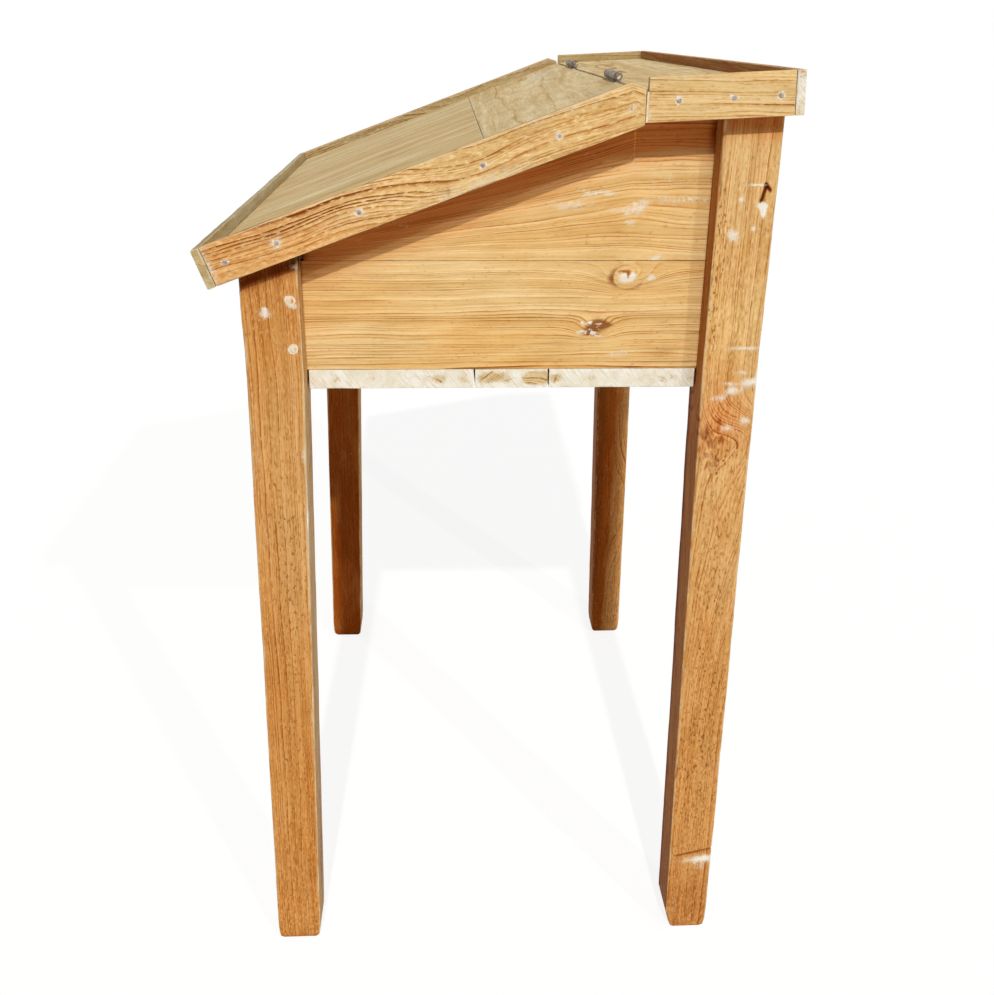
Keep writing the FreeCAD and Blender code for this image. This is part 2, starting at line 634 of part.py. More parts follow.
def make_screws(label, sign):
    """Countersunk screws through both leaves on one side of the hinge line, driven away from the pin."""
    turn = Rotation(Vector(1, 0, 0), -90 * sign)
    screws = []
    for hinge_sign in (-1, 1):
        for step in (-1, 0, 1):
            x = f"({hinge_sign} * Sizes.hinge_offset + {step} * Sizes.screw_pitch)"
            z = "Sizes.hinge_height - Sizes.screw_drop"
            head = doc.addObject("Part::Cone", f"{label}_head")
            head.setExpression("Radius1", "Sizes.screw_head")
            head.setExpression("Radius2", "Sizes.screw_radius")
            head.setExpression("Height", "Sizes.leaf_thick")
            shank = doc.addObject("Part::Cylinder", f"{label}_shank")
            shank.setExpression("Radius", "Sizes.screw_radius")
            shank.setExpression("Height", "Sizes.screw_long")
            for piece, start in ((head, "Sizes.leaf_gap / 2"), (shank, LEAF_SEAT)):
                piece.Placement = Placement(Vector(), turn)
                piece.setExpression("Placement.Base.x", x)
                piece.setExpression("Placement.Base.y", f"{HINGE_Y} + {sign} * ({start})")
                piece.setExpression("Placement.Base.z", z)
            screw = doc.addObject("Part::Fuse", f"{label}_screw")
            screw.Base = head
            screw.Tool = shank
            screws.append(screw)
    group = doc.addObject("Part::Compound", label)
    group.Links = screws
    group.Label = label
    nodes[label] = group
    return group


def make_pin(label, x):
    """A hinge pin with both ends peened over the knuckles."""
    half_long = "(Sizes.hinge_long / 2)"
    shank = ("Sizes.pin_radius", f"(-{half_long})", "Sizes.hinge_long")
    near_end = ("Sizes.pin_head", f"(-{half_long} - Sizes.pin_head_thick)", "Sizes.pin_head_thick")
    far_end = ("Sizes.pin_head", half_long, "Sizes.pin_head_thick")
    pieces = []
    for radius, start, length in (shank, near_end, far_end):
        piece = doc.addObject("Part::Cylinder", f"{label}_piece")
        piece.setExpression("Radius", radius)
        piece.setExpression("Height", length)
        piece.Placement = Placement(Vector(), Rotation(Vector(0, 1, 0), 90))
        place_on_hinge(piece, f"{x} + {start}")
        pieces.append(piece)
    pin = doc.addObject("Part::MultiFuse", label)
    pin.Shapes = pieces
    pin.Label = label
    nodes[label] = pin


def make_hinges():
    fixed_screws = make_screws("fixed_leaf_screws", 1)
    lid_screws = make_screws("lid_leaf_screws", -1)
    for side, sign in (("left", -1), ("right", 1)):
        x = f"({sign} * Sizes.hinge_offset)"
        make_leaf(f"hinge_leaf_fixed_{side}", x, 1, (0, 2), fixed_screws)
        make_leaf(f"hinge_leaf_lid_{side}", x, -1, (1,), lid_screws)
        make_pin(f"hinge_pin_{side}", x)


peg_group = make_pegs()
make_legs(peg_group)
make_side_panels(peg_group)
make_cross_panels()
make_floor()
make_shelf()
make_lid()
make_hinges()
doc.recompute()

for thing in doc.Objects:
    if "Invalid" in thing.State or "Error" in thing.State:
        raise RuntimeError(f"{thing.Name} did not build: {thing.State}")
for label, thing in nodes.items():
    if thing.Shape.isNull() or not thing.Shape.isValid():
        raise RuntimeError(f"{label} has no valid shape")

os.makedirs("parts", exist_ok=True)
for label, thing in nodes.items():
    thing.Shape.exportStep(f"parts/{label}.step")
print(len(nodes), "nodes,", sum(len(thing.Shape.Solids) for thing in nodes.values()), "solids")
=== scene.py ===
import itertools
import json
import math
from collections import defaultdict
from functools import partial

import bpy
import numpy as np
from bpy.props import FloatProperty, FloatVectorProperty, PointerProperty
from mathutils import Matrix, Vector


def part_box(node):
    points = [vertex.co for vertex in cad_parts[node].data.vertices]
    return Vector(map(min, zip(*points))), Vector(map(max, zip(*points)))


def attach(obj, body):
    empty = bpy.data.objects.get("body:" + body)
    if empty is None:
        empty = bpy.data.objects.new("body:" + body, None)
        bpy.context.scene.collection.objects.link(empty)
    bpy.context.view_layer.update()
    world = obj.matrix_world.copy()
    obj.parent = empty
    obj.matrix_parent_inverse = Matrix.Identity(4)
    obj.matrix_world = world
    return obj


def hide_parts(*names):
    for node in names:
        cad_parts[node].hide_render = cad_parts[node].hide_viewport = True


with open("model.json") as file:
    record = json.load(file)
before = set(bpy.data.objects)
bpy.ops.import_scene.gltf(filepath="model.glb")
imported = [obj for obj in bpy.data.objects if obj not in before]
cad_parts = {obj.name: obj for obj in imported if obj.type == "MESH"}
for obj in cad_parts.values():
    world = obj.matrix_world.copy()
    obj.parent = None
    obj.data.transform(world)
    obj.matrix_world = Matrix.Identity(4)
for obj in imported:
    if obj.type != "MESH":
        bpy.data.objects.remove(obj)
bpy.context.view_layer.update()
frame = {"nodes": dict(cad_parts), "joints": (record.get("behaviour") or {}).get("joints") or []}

bl_info = {
    "name": "Stripped pine school desk",
    "version": (1, 0, 0),
    "blender": (4, 5, 0),
    "location": "View3D > Sidebar > Desk",
    "description": "Worn boards, old paint, iron and nails for a slope-top school desk",
    "category": "Object",
}

MM = 1000.0
HINGE_Y = frame["joints"][0]["pos_m"][1] * MM


def linear(code):
    """An sRGB hex colour as three linear values, by the sRGB curve."""
    parts = np.array([int(code[i : i + 2], 16) for i in (1, 3, 5)]) / 255
    return tuple(np.where(parts <= 0.04045, parts / 12.92, ((parts + 0.055) / 1.055) ** 2.4).tolist())


def colour(name, code, description):
    """A colour setting whose default is an sRGB hex value."""
    return FloatVectorProperty(
        name=name, description=description, default=linear(code), subtype="COLOR", min=0, max=1
    )


def length(name, metres, description):
    """A length setting."""
    return FloatProperty(name=name, description=description, default=metres, unit="LENGTH", precision=4)


class DeskShape(bpy.types.PropertyGroup):
    slope: FloatProperty(
        name="Slope", description="Fall of the closed lid", default=math.radians(20.2), subtype="ANGLE"
    )
    tilt: FloatProperty(
        name="Tilt", description="Rise of the shelf", default=math.radians(3.1), subtype="ANGLE"
    )
    hinge_height: length("Hinge height", 0.901, "Floor to the boards' surface at the hinge line")
    step: length("Step", 0.0045, "Distance between points on a board")
    round: length("Round", 0.0013, "Radius of a worn edge")
    dip: length("Dip", 0.0003, "Depth of the hollows that wear leaves on a face")
    nick: length("Nick", 0.0022, "Depth of the deepest nicks along an edge")


class DeskPine(bpy.types.PropertyGroup):
    early: colour("Early wood", "#EBD09D", "Pale wood at the start of a year's ring")
    middle: colour("Middle wood", "#DEB77B", "Honey-coloured wood in the middle of a ring")
    late: colour("Late wood", "#B88047", "Dense wood at the end of a ring")
    line: colour("Ring line", "#824E22", "Dark line that closes a ring")
    top_early: colour("Top early wood", "#FBEABF", "Pale wood of the writing surface")
    top_middle: colour("Top middle wood", "#F3DAA6", "Greyed wood of the writing surface")
    top_late: colour("Top late wood", "#C6A46A", "Dense wood of the writing surface")
    top_line: colour("Top ring line", "#8A6B3C", "Ring lines of the writing surface")
    # The knot colour also paints a band of shade along the top of the front legs, under the lid's edging
    knot: colour("Knot", "#7A3D16", "Resinous heart of a knot")
    paint: colour("Old paint", "#E8E6DC", "Remains of white paint")
    old_paint: colour("Stained paint", "#D2C09A", "Remains of white paint where dirt has got in")
    hole: colour("Worm hole", "#7C4E1E", "Dust-filled holes and tunnels of woodworm")
    filler: colour("Filler", "#DDD3C0", "White stopping round nails and pegs")


class DeskMetal(bpy.types.PropertyGroup):
    iron: colour("Iron", "#7E7568", "Hinge iron where it is rubbed")
    rust: colour("Rust", "#6E573F", "Old rust on the hinges")
    nail: colour("Nail", "#A89C98", "Nail and screw heads")
    tarnish: colour("Tarnish", "#82756F", "Dull film on the nail heads")


class DeskStage(bpy.types.PropertyGroup):
    floor: colour("Floor", "#F4F3F0", "Pale floor")
    key: FloatProperty(name="Key", description="Strength of the main lamp", default=2.05, min=0)
    second: FloatProperty(name="Second", description="Strength of the lower lamp", default=0.7, min=0)
    sky: FloatProperty(name="Sky", description="Strength of the even light all round", default=0.28, min=0)


LATTICE_PRIMES, SEED_STRIDE, STIR = (73856093, 19349663, 83492791), 2654435761, 1274126177


def value_noise(points, cell, seed):
    """Smooth random field from -1 to 1: random values on a cubic lattice of that cell size, eased between."""
    scaled = points / cell
    base = np.floor(scaled).astype(np.int64)
    ease = scaled - base
    ease = ease * ease * (3 - 2 * ease)
    total = np.zeros(len(points))
    for step in itertools.product((0, 1), repeat=3):
        mixed = ((base + step) * LATTICE_PRIMES).sum(1) + seed * SEED_STRIDE
        mixed = (mixed ^ (mixed >> 13)) * STIR
        mixed = (mixed ^ (mixed >> 16)) & 0xFFFF
        total += np.where(step, ease, 1 - ease).prod(1) * mixed
    return total / 0x7FFF - 1


def node_points(name, bed="case"):
    """All points of a CAD node in millimetres, turned back to level if the node lies on the lid or shelf."""
    mesh = frame["nodes"][name].data
    points = np.empty(len(mesh.vertices) * 3)
    mesh.vertices.foreach_get("co", points)
    return level(points.reshape(-1, 3) * MM, bed)


def bed_turn(bed):
    """Rotation and origin of a bed: the case is level, the lid and the shelf turn about the hinge line."""
    shape = bpy.context.scene.desk_shape
    angle = {"case": 0.0, "lid": shape.slope, "shelf": shape.tilt}[bed]
    turn = np.array(Matrix.Rotation(angle, 3, "X"))
    origin = np.array((0, HINGE_Y, shape.hinge_height * MM)) if bed != "case" else np.zeros(3)
    return turn, origin


def level(points, bed):
    """Points of the desk in a bed's own axes."""
    turn, origin = bed_turn(bed)
    return (points - origin) @ turn


def lay(points, bed):
    """Points in a bed's own axes, back on the desk."""
    turn, origin = bed_turn(bed)
    return points @ turn.T + origin


def farthest(points, direction):
    """The point that lies farthest along a direction."""
    return points[(points @ np.array(direction, float)).argmax()]


def block_sections(points, axis):
    """Both end sections of a block: its eight corners are the points farthest along the eight diagonals."""
    middle = (points.max(0) + points.min(0)) / 2
    half = np.ptp(points, axis=0) / 2
    signs = np.array(list(itertools.product((-1, 1), repeat=3)))
    reach = ((points - middle) / half) @ signs.T
    return np.moveaxis(points[reach.argmax(0)].reshape(2, 2, 2, 3), axis, 0)


FOOT_HEIGHT = (0.0, 2.0, 6.0, 14.0, 28.0)
FOOT_WEAR = (7.0, 4.2, 1.6, 0.5, 0.0)
SPLIT_WEAR = (11.0, 9.0, 6.6, 3.6, 0.3)
SOLE_PROBE, PROBE_BAND, HEAD_BAND = 3, 1, 25


def leg_sections(points, split):
    """Sections of a leg from sole to head, four corners each: the foot drawn in by wear, more on its -Y side
    if that is split, then the knee and the sloping top."""
    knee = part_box("floor_board_middle")[1][2] * MM
    heights = points[:, 2]
    bands = (
        abs(heights - SOLE_PROBE) < PROBE_BAND,
        abs(heights - knee) < PROBE_BAND,
        heights > heights.max() - HEAD_BAND,
    )
    signs = list(itertools.product((-1, 1), repeat=2))
    corners = [[farthest(points[band], (x, y, 0)) for x, y in signs] for band in bands]
    foot, bend, head = np.array(corners).reshape(len(bands), 2, 2, 3)
    sections = []
    for height, wear, side_wear in zip(FOOT_HEIGHT, FOOT_WEAR, SPLIT_WEAR if split else FOOT_WEAR):
        share = max(0.0, (height - foot[0, 0, 2]) / (knee - foot[0, 0, 2]))
        section = foot + (bend - foot) * share
        section[..., 2] = height
        section[:, :, 0] += np.array((wear, -wear))[:, None]
        section[:, :, 1] += np.array((side_wear, -wear))
        sections.append(section)
    return np.array([*sections, bend, head])


TOUCH, NOTCH_LEAST, NOTCH_RUN = 0.01, 5, 0.3


def floor_sections(points):
    """Sections of a floor board across the desk: narrow, then stepped out between the legs, then narrow."""
    low, high = points.min(0), points.max(0)
    wide = points[abs(points[:, 0] - high[0]) < TOUCH]
    notched = len(points) > len(wide) * 2
    step = points[abs(points[:, 0]) < high[0] - NOTCH_LEAST][:, 0].max() if notched else high[0]
    half = np.array((step - NOTCH_RUN, step + NOTCH_RUN, high[0]))
    spans = []
    for x in (*-half[::-1], *half):
        near, far = (low[1], high[1]) if abs(x) < step else (wide[:, 1].min(), wide[:, 1].max())
        spans.append([[(x, y, z) for z in (low[2], high[2])] for y in (near, far)])
    return np.array(spans)


RIDGE_BAND = 0.5


def upper_sections(points):
    """Sections of an upper side board: its nose, the hinge line where the slope ends, and its rear end."""
    low, high = points.min(0), points.max(0)
    outer = points[(abs(points[:, 0] - low[0]) < TOUCH) | (abs(points[:, 0] - high[0]) < TOUCH)]
    nose = farthest(outer, (0, -1, 0.5))
    ridge = outer[abs(outer[:, 1] - HINGE_Y) < RIDGE_BAND]
    rear = farthest(outer, (0, 1, 1))
    tops = ((nose[1], nose[2]), (HINGE_Y, ridge[:, 2].min()), (rear[1], rear[2]))
    return np.array([[[(x, y, z) for z in (low[2], top)] for x in (low[0], high[0])] for y, top in tops])


TONGUE_LONG, TONGUE_SHOULDER, TONGUE_START = 6.0, 1.5, 0.3


def tongued(sections):
    """The same sections with a tongue on each end: first the shoulder, drawn in, then the tongue's end."""
    added = []
    for end, inner in ((0, 1), (-1, -2)):
        ahead = sections[end].mean((0, 1)) - sections[inner].mean((0, 1))
        ahead /= abs(ahead).max()
        middle = sections[end].mean((0, 1))
        drawn = sections[end] - np.clip(sections[end] - middle, -TONGUE_SHOULDER, TONGUE_SHOULDER)
        added.append((drawn + TONGUE_START * ahead, drawn + TONGUE_LONG * ahead))
    return np.array([added[0][1], added[0][0], *sections, added[1][0], added[1][1]])


def edging_sections(points):
    """Sections of the lid's side edging: its front end, where its top starts to fall, and its hinge end."""
    low, high = points.min(0), points.max(0)
    foot = points[points[:, 2] < low[2] + TOUCH][:, 1].max()
    crest = points[points[:, 2] > high[2] - TOUCH][:, 1].max()
    tip = farthest(points, (0, 1, 0))
    front = ((low[1], low[2]), (low[1], high[2]))
    fall = ((min(foot, crest) - 1, low[2]), (crest, high[2]))
    hinge = ((foot, low[2]), (tip[1], tip[2]))
    spans = (front, fall, hinge)
    return np.array([[[(x, y, z) for y, z in span] for x in (low[0], high[0])] for span in spans])


def quads_of(grid):
    """Quads between neighbours on grids of point numbers."""
    ring = (grid[..., :-1, :-1], grid[..., 1:, :-1], grid[..., 1:, 1:], grid[..., :-1, 1:])
    return np.stack(ring, -1).reshape(-1, 4)


def lattice_skin(counts):
    """Skin of a block of lattice points: every point with a place at either end of an axis, and the quads
    between neighbours on each of the six sides, wound to face outwards."""
    skin = np.zeros(counts, bool)
    for axis in range(3):
        np.moveaxis(skin, axis, 0)[[0, -1]] = True
    number = np.full(counts, -1)
    number[skin] = np.arange(skin.sum())
    quads = []
    for axis, end in itertools.product(range(3), (0, -1)):
        ring = quads_of(np.take(number, end, axis=axis))
        quads.append(ring[:, ::-1] if (end == 0) != (axis == 1) else ring)
    return np.argwhere(skin), np.concatenate(quads)


NOWHERE = ((), (), ())
RIM_STOPS = (0, 0.35, 0.7)


def spaced(stops, step, rim):
    """Places along a length: three close ones through the worn rim at each end, even steps between stops."""
    bend = rim * np.array(RIM_STOPS)
    inner = [rim, *stops[1:-1], stops[-1] - rim]
    runs = [np.linspace(a, b, max(1, round((b - a) / step)) + 1)[1:] for a, b in zip(inner, inner[1:])]
    return np.concatenate([bend, [rim], *runs, stops[-1] - bend[::-1]])


def refined(places, bands):
    """Places along a length, with closer ones added in bands of start, end and step."""
    return np.unique(np.concatenate([places, *[np.arange(*band) for band in bands]]).round(3))


def bumps(points, marks):
    """Sum of soft round bumps: each mark has a centre, a size along each axis and a height."""
    total = np.zeros(len(points))
    for centre, size, height in marks:
        total += height * np.exp(-(((points - centre) / size) ** 2).sum(1))
    return total


SIDE_SHARP = 4


def field(kind, points, out, marks):
    """One kind of mark all over a board: its soft bumps, and what lies on whole sides of the board, which are
    given by their direction along, across and through it."""
    sides = [height * np.clip(out @ way, 0, 1) ** SIDE_SHARP
             for way, label, height in marks.get("sides", ()) if label == kind]
    return bumps(points, marks.get(kind, ())) + sum(sides)


# Sizes in millimetres of the noise that wears a board, and its shares of the radius and depth it changes
EDGE_CELL, HOLLOW_CELL, RIPPLE_CELL, NICK_CELL = 38, 75, 14, 9
EDGE_SWELL, EDGE_LEAST, EDGE_MOST = 0.6, 0.3, 1.5
DIP_EVEN, DIP_HOLLOW, DIP_RIPPLE = 0.6, 0.3, 0.1
NICK_LONG, NICK_START, NICK_SHARP = (0.45, 1, 1), 0.22, 1.4
TREE_APART = 700


def worn_block(sections, cut, marks, seed, fine=NOWHERE):
    """Skin of a sawn board: a lattice block is rounded along its edges by pulling each point to the given
    distance from an inner block, dented inwards by smooth noise, more along edges, and stretched over the
    sections that lie along its length. Returns points, quads and the values that the finish reads."""
    shape = bpy.context.scene.desk_shape
    step = shape.step * MM * cut["step"]
    round_off = shape.round * MM * cut["round"]
    rim = EDGE_MOST * round_off
    middles = sections.mean((1, 2))
    stops = np.concatenate(([0], np.cumsum(np.linalg.norm(np.diff(middles, axis=0), axis=1))))
    wide = np.linalg.norm(sections[:, 1] - sections[:, 0], axis=-1).mean()
    deep = np.linalg.norm(sections[:, :, 1] - sections[:, :, 0], axis=-1).mean()
    size = np.array((stops[-1], wide, deep))
    runs = zip((stops, (0, wide), (0, deep)), fine)
    ways = [refined(spaced(way, step, rim), bands) for way, bands in runs]
    places, quads = lattice_skin([len(way) for way in ways])
    flat = np.stack([way[places[:, axis]] for axis, way in enumerate(ways)], -1)
    swell = 1 + EDGE_SWELL * value_noise(flat, EDGE_CELL, seed)
    radius = np.clip(round_off * swell, EDGE_LEAST * round_off, rim)[:, None]
    inner = np.clip(flat, radius, size - radius)
    out = flat - inner
    out /= np.linalg.norm(out, axis=1, keepdims=True)
    edge = np.sort(abs(flat - inner), axis=1)[:, 1] / radius[:, 0]
    hollow, ripple = value_noise(flat, HOLLOW_CELL, seed + 1), value_noise(flat, RIPPLE_CELL, seed + 2)
    dip = shape.dip * MM * (DIP_EVEN + DIP_HOLLOW * hollow + DIP_RIPPLE * ripple)
    chipped = np.clip(value_noise(flat * NICK_LONG, NICK_CELL, seed + 3) - NICK_START, 0, 1) ** NICK_SHARP
    nick = shape.nick * MM * edge * chipped * cut["round"]
    worn = inner + out * (radius - (dip + nick)[:, None])
    station = np.clip(np.searchsorted(stops, worn[:, 0], "right") - 1, 0, len(stops) - 2)
    share = ((worn[:, 0] - stops[station]) / (stops[station + 1] - stops[station]))[:, None, None, None]
    corners = sections[station] * (1 - share) + sections[station + 1] * share
    pull = (worn[:, 1:] / size[1:]).clip(0, 1)[:, :, None, None]
    strips = corners[:, 0] * (1 - pull[:, 0]) + corners[:, 1] * pull[:, 0]
    points = strips[:, 0] * (1 - pull[:, 1, 0]) + strips[:, 1] * pull[:, 1, 0]
    first = sections[0]
    hand = np.linalg.det((middles[1] - middles[0], first[1, 0] - first[0, 0], first[0, 1] - first[0, 0]))
    points -= bumps(points, marks.get("dent", ()))[:, None] * outward(sections, out)
    values = timber_values(flat, points, out, edge, cut, marks, seed)
    return points, quads if hand > 0 else quads[:, ::-1], values


def timber_values(flat, points, out, edge, cut, marks, seed):
    """What the finish reads at each point: its place in the tree, the figure of the grain, the strength of
    what lies in it, the wear and painted shade on it and the knots near it."""

    def spread(kind):
        return cut[kind] + field(kind, points, out, marks)

    along = flat[:, :1]
    even = np.ones(len(points))
    knots = [field(kind, points, out, marks) for kind in ("swirl", "core")]
    across = flat[:, 1:] - cut["pith"] + along * cut["lean"]
    # Redness, amber and darkening hold painted shade as well as the wood's own colour, where the marks ask
    # for it
    return {
        "timber": np.column_stack((along + TREE_APART * seed, across)),
        "figure": np.column_stack((cut["curl"] * even, spread("tone"), cut["ring"] * even)),
        "strength": np.column_stack([spread(kind) for kind in ("bold", "amber", "rough")]),
        "wear": np.column_stack([spread(kind) for kind in ("paint", "worm", "dark")]),
        "knot": np.column_stack((*knots, edge)),
    }


def outward(sections, out):
    """Directions out of a block, turned from its own axes to those of its first section."""
    axes = np.array((
        sections[1].mean((0, 1)) - sections[0].mean((0, 1)),
        sections[0, 1].mean(0) - sections[0, 0].mean(0),
        sections[0, :, 1].mean(0) - sections[0, :, 0].mean(0),
    ))
    return out @ (axes / np.linalg.norm(axes, axis=1, keepdims=True))


def make_object(name, points, quads, values, material, body, slot, *nodes):
    """A smooth-shaded mesh object at the origin that rides on a body and stands for the nodes."""
    mesh = bpy.data.meshes.new(name)
    mesh.from_pydata(points / MM, (), quads)
    if mesh.validate():
        raise RuntimeError(f"{name} has faulty faces")
    mesh.polygons.foreach_set("use_smooth", np.ones(len(mesh.polygons), bool))
    for label, rows in values.items():
        layer = mesh.attributes.new(label, "FLOAT_VECTOR", "POINT")
        layer.data.foreach_set("vector", np.ascontiguousarray(rows, np.float32).ravel())
    mesh.materials.append(material)
    piece = bpy.data.objects.new(name, mesh)
    bpy.context.scene.collection.objects.link(piece)
    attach(piece, body)
    if nodes:
        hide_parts(*nodes)


def add(tree, kind, inputs=(), out=0, stops=(), **settings):
    """Adds a node with its settings, fills or links its inputs by name or number, and returns one output."""
    node = tree.nodes.new(f"ShaderNode{kind}")
    for key, setting in settings.items():
        setattr(node, key, setting)
    for key, given in inputs.items() if isinstance(inputs, dict) else enumerate(inputs):
        if isinstance(given, bpy.types.NodeSocket):
            tree.links.new(given, node.inputs[key])
        else:
            node.inputs[key].default_value = given
    for place, _ in stops[2:]:
        node.color_ramp.elements.new(place)
    for element, (place, shade) in zip(node.color_ramp.elements if stops else (), stops):
        element.position = place
        element.color = (*shade, 1)
    return node.outputs[out] if node.outputs else None


FACTOR, UNDER, OVER, RESULT = 0, 6, 7, 2
LAY = {"data_type": "RGBA"}
TINT = {"data_type": "RGBA", "blend_type": "MULTIPLY"}


def new_material(name):
    """An empty node material, and the function that adds nodes to it."""
    material = bpy.data.materials.new(name)
    material.use_nodes = True
    material.node_tree.nodes.clear()
    return material, partial(add, material.node_tree)


def finish_surface(put, shade, roughness, height, depth, specular=0.4, metallic=0.0):
    """Joins colour, roughness and a bump of that depth in metres to the surface."""
    bump = put("Bump", {"Distance": depth, "Height": height})
    shader = put("BsdfPrincipled", {"Base Color": shade, "Roughness": roughness, "Normal": bump,
                                    "Metallic": metallic, "Specular IOR Level": specular})
    put("OutputMaterial", {"Surface": shader})


# What lies in the wood and over it, as colours that it is multiplied by. The reddening, amber, varnish and
# grime tints also paint shade where a board's marks ask for it: the shadow under the lid's and shelf's
# edging, gaps beside the legs and leg faces turned from the lamps.
POOR_YEARS, FIBRES, PORES = linear("#EFE8D7"), linear("#E2CBAD"), linear("#CEB18B")
REDDENED_AND_SHADE, GREYED, AMBER_AND_SHADE = linear("#E3C09B"), linear("#CEDFF6"), linear("#FFD7BF")
DIRT, VARNISH_AND_SHADE, GRIME_AND_SHADE = linear("#CEC5AD"), linear("#B58048"), linear("#AAB5BC")


# Softwood sawn, planed, stripped of its paint and waxed. The rings of the tree run through the whole board,
# so they meet at its edges and show as arcs on its ends. Each ring goes from pale to a dark line; fibres,
# knots, worm holes, leftover paint, rubbed edges and painted shade lie over them. Fibres, pores and worm
# holes are drawn coarser than life, so that they show.
def pine(name, shades, blush, soil):
    settings = bpy.context.scene.desk_pine
    material, put = new_material(name)
    early, middle, late, line = shades
    timber, *packed = (
        put("Attribute", out="Vector", attribute_name=label)
        for label in ("timber", "figure", "strength", "wear", "knot")
    )
    curl, tone, ring_width, bold, amber, rough, paint, worm, dark, swirl, core, edge = (
        put("SeparateXYZ", [values], out) for values in packed for out in range(3)
    )
    # The board's own millimetres, shrunk so that one unit is a long streak, a short streak, a fibre, a fleck,
    # the room of one worm hole or a crumb of paint
    streak, smear, thread, fleck, burrow, crumb = (
        put("VectorMath", [timber, (1 / run, 1 / wide, 1 / wide)], operation="MULTIPLY")
        for run, wide in ((160, 26), (26, 8), (40, 1.6), (5, 1.5), (9, 6), (2.4, 1.7))
    )

    # The trunk wanders along its length, and each ring lies a little apart from the next
    wander = put("TexNoise", {"Vector": streak, "Scale": 1.0, "Detail": 2.5}, "Color")
    wander = put("VectorMath", [wander, (0.5, 0.5, 0.5)], operation="SUBTRACT")
    wander = put("VectorMath", {0: wander, "Scale": curl}, operation="SCALE")
    crossing = put("VectorMath", [timber, wander], operation="ADD")
    crossing = put("VectorMath", [crossing, (0, 1, 1)], operation="MULTIPLY")
    reach = put("VectorMath", [crossing], "Value", operation="LENGTH")
    reach = put("Math", [reach, swirl], operation="ADD")
    years = put("Math", [reach, ring_width], operation="DIVIDE")
    drift = put("TexNoise", {"W": years, "Scale": 0.23, "Detail": 1.0}, noise_dimensions="1D")
    years = put("Math", [drift, 4.5, years], operation="MULTIPLY_ADD")
    growth = put("Math", [years], operation="FRACT")
    dense = put("ValToRGB", [growth], stops=(
        (0.0, (0, 0, 0)), (0.42, (0.09,) * 3), (0.74, (0.42,) * 3), (0.9, (0.96,) * 3), (1.0, (0.02,) * 3)))
    year = put("TexWhiteNoise", {"W": put("Math", [years], operation="FLOOR")}, noise_dimensions="1D")
    vigour = put("Math", [year, 1.2], operation="POWER")
    fade = put("TexNoise", {"Vector": streak, "Scale": 2.1, "Detail": 3.0, "Roughness": 0.6})
    fade = put("MapRange", {"Value": fade, "From Min": 0.3, "From Max": 0.66, "To Min": 0.25})
    vigour = put("MapRange", {"Value": vigour, "To Min": 0.32, "To Max": 1.15})
    vigour = put("Math", [vigour, bold], operation="MULTIPLY")
    dense = put("Math", [dense, put("Math", [vigour, fade], operation="MULTIPLY")], operation="MULTIPLY")
    shade = put("ValToRGB", [dense], stops=((0.0, early), (0.24, middle), (0.6, late), (1.0, line)))

    # Honey turns to orange in broad patches, a run of poor years is duller, fibres and pores show as streaks
    patch = put("TexNoise", {"Vector": streak, "Scale": 0.8, "Detail": 4.0})
    patch = put("MapRange", {"Value": patch, "From Min": 0.36, "From Max": 0.7, "To Max": 0.85})
    spell = put("TexNoise", {"W": years, "Scale": 0.37, "Detail": 2.0}, noise_dimensions="1D")
    spell = put("MapRange", {"Value": spell, "From Min": 0.42, "From Max": 0.66, "To Max": 0.85})
    fibre = put("TexNoise", {"Vector": thread, "Scale": 1.0, "Detail": 4.0, "Roughness": 0.7})
    stroke = put("MapRange", {"Value": fibre, "From Min": 0.42, "From Max": 0.7, "To Max": 0.35 + 0.5 * soil})
    coarse = put("MapRange", {"Value": rough, "To Min": 0.95, "To Max": 2.0})
    stroke = put("Math", [stroke, coarse], operation="MULTIPLY")
    pores = put("TexNoise", {"Vector": fleck, "Scale": 1.0, "Detail": 2.0})
    pits = put("Math", [rough, 0.07, pores], operation="MULTIPLY_ADD")
    pits = put("MapRange", {"Value": pits, "From Min": 0.62, "From Max": 0.76, "To Max": 0.55})
    raised = put("MapRange", {"Value": pores, "From Min": 0.44, "From Max": 0.3, "To Max": 0.75})
    raised = put("Math", [raised, rough], operation="MULTIPLY", use_clamp=True)
    greyed = put("Math", [tone, -1.0], operation="MULTIPLY")
    dirt = put("TexNoise", {"Vector": smear, "Scale": 0.5, "Detail": 5.0, "Roughness": 0.65})
    dirt = put("MapRange", {"Value": dirt, "From Min": 0.42, "From Max": 0.72, "To Max": soil})

    # Knots, edges rubbed pale, and dark varnish: old varnish, cracks and dirt in some places, painted shade
    # in others, under the edging, in gaps beside the legs and on leg faces turned from the lamps. Past 1.1 a
    # grey grime tint deepens both. The knot colour also paints a band of shade along the top of the front
    # legs.
    ragged = put("TexNoise", {"Vector": smear, "Scale": 1.3, "Detail": 4.0, "Roughness": 0.7})
    heart = put("Math", [core, 0.45], operation="SUBTRACT")
    heart = put("Math", [ragged, 0.9, heart], operation="MULTIPLY_ADD")
    heart = put("MapRange", {"Value": heart, "From Min": 0.2, "From Max": 0.7, "To Max": 0.85})
    rubbed = put("MapRange", {"Value": ragged, "From Min": 0.36, "From Max": 0.62, "To Max": 0.8})
    rubbed = put("Math", [rubbed, edge], operation="MULTIPLY")
    varnish_and_shade = put("MapRange", {"Value": fade, "From Min": 0.25, "To Min": 1.15, "To Max": 0.8})
    varnish_and_shade = put("Math", [dark, varnish_and_shade], operation="MULTIPLY", use_clamp=True)
    grime_and_shade = put("MapRange", {"Value": dark, "From Min": 1.1, "From Max": 2.0})

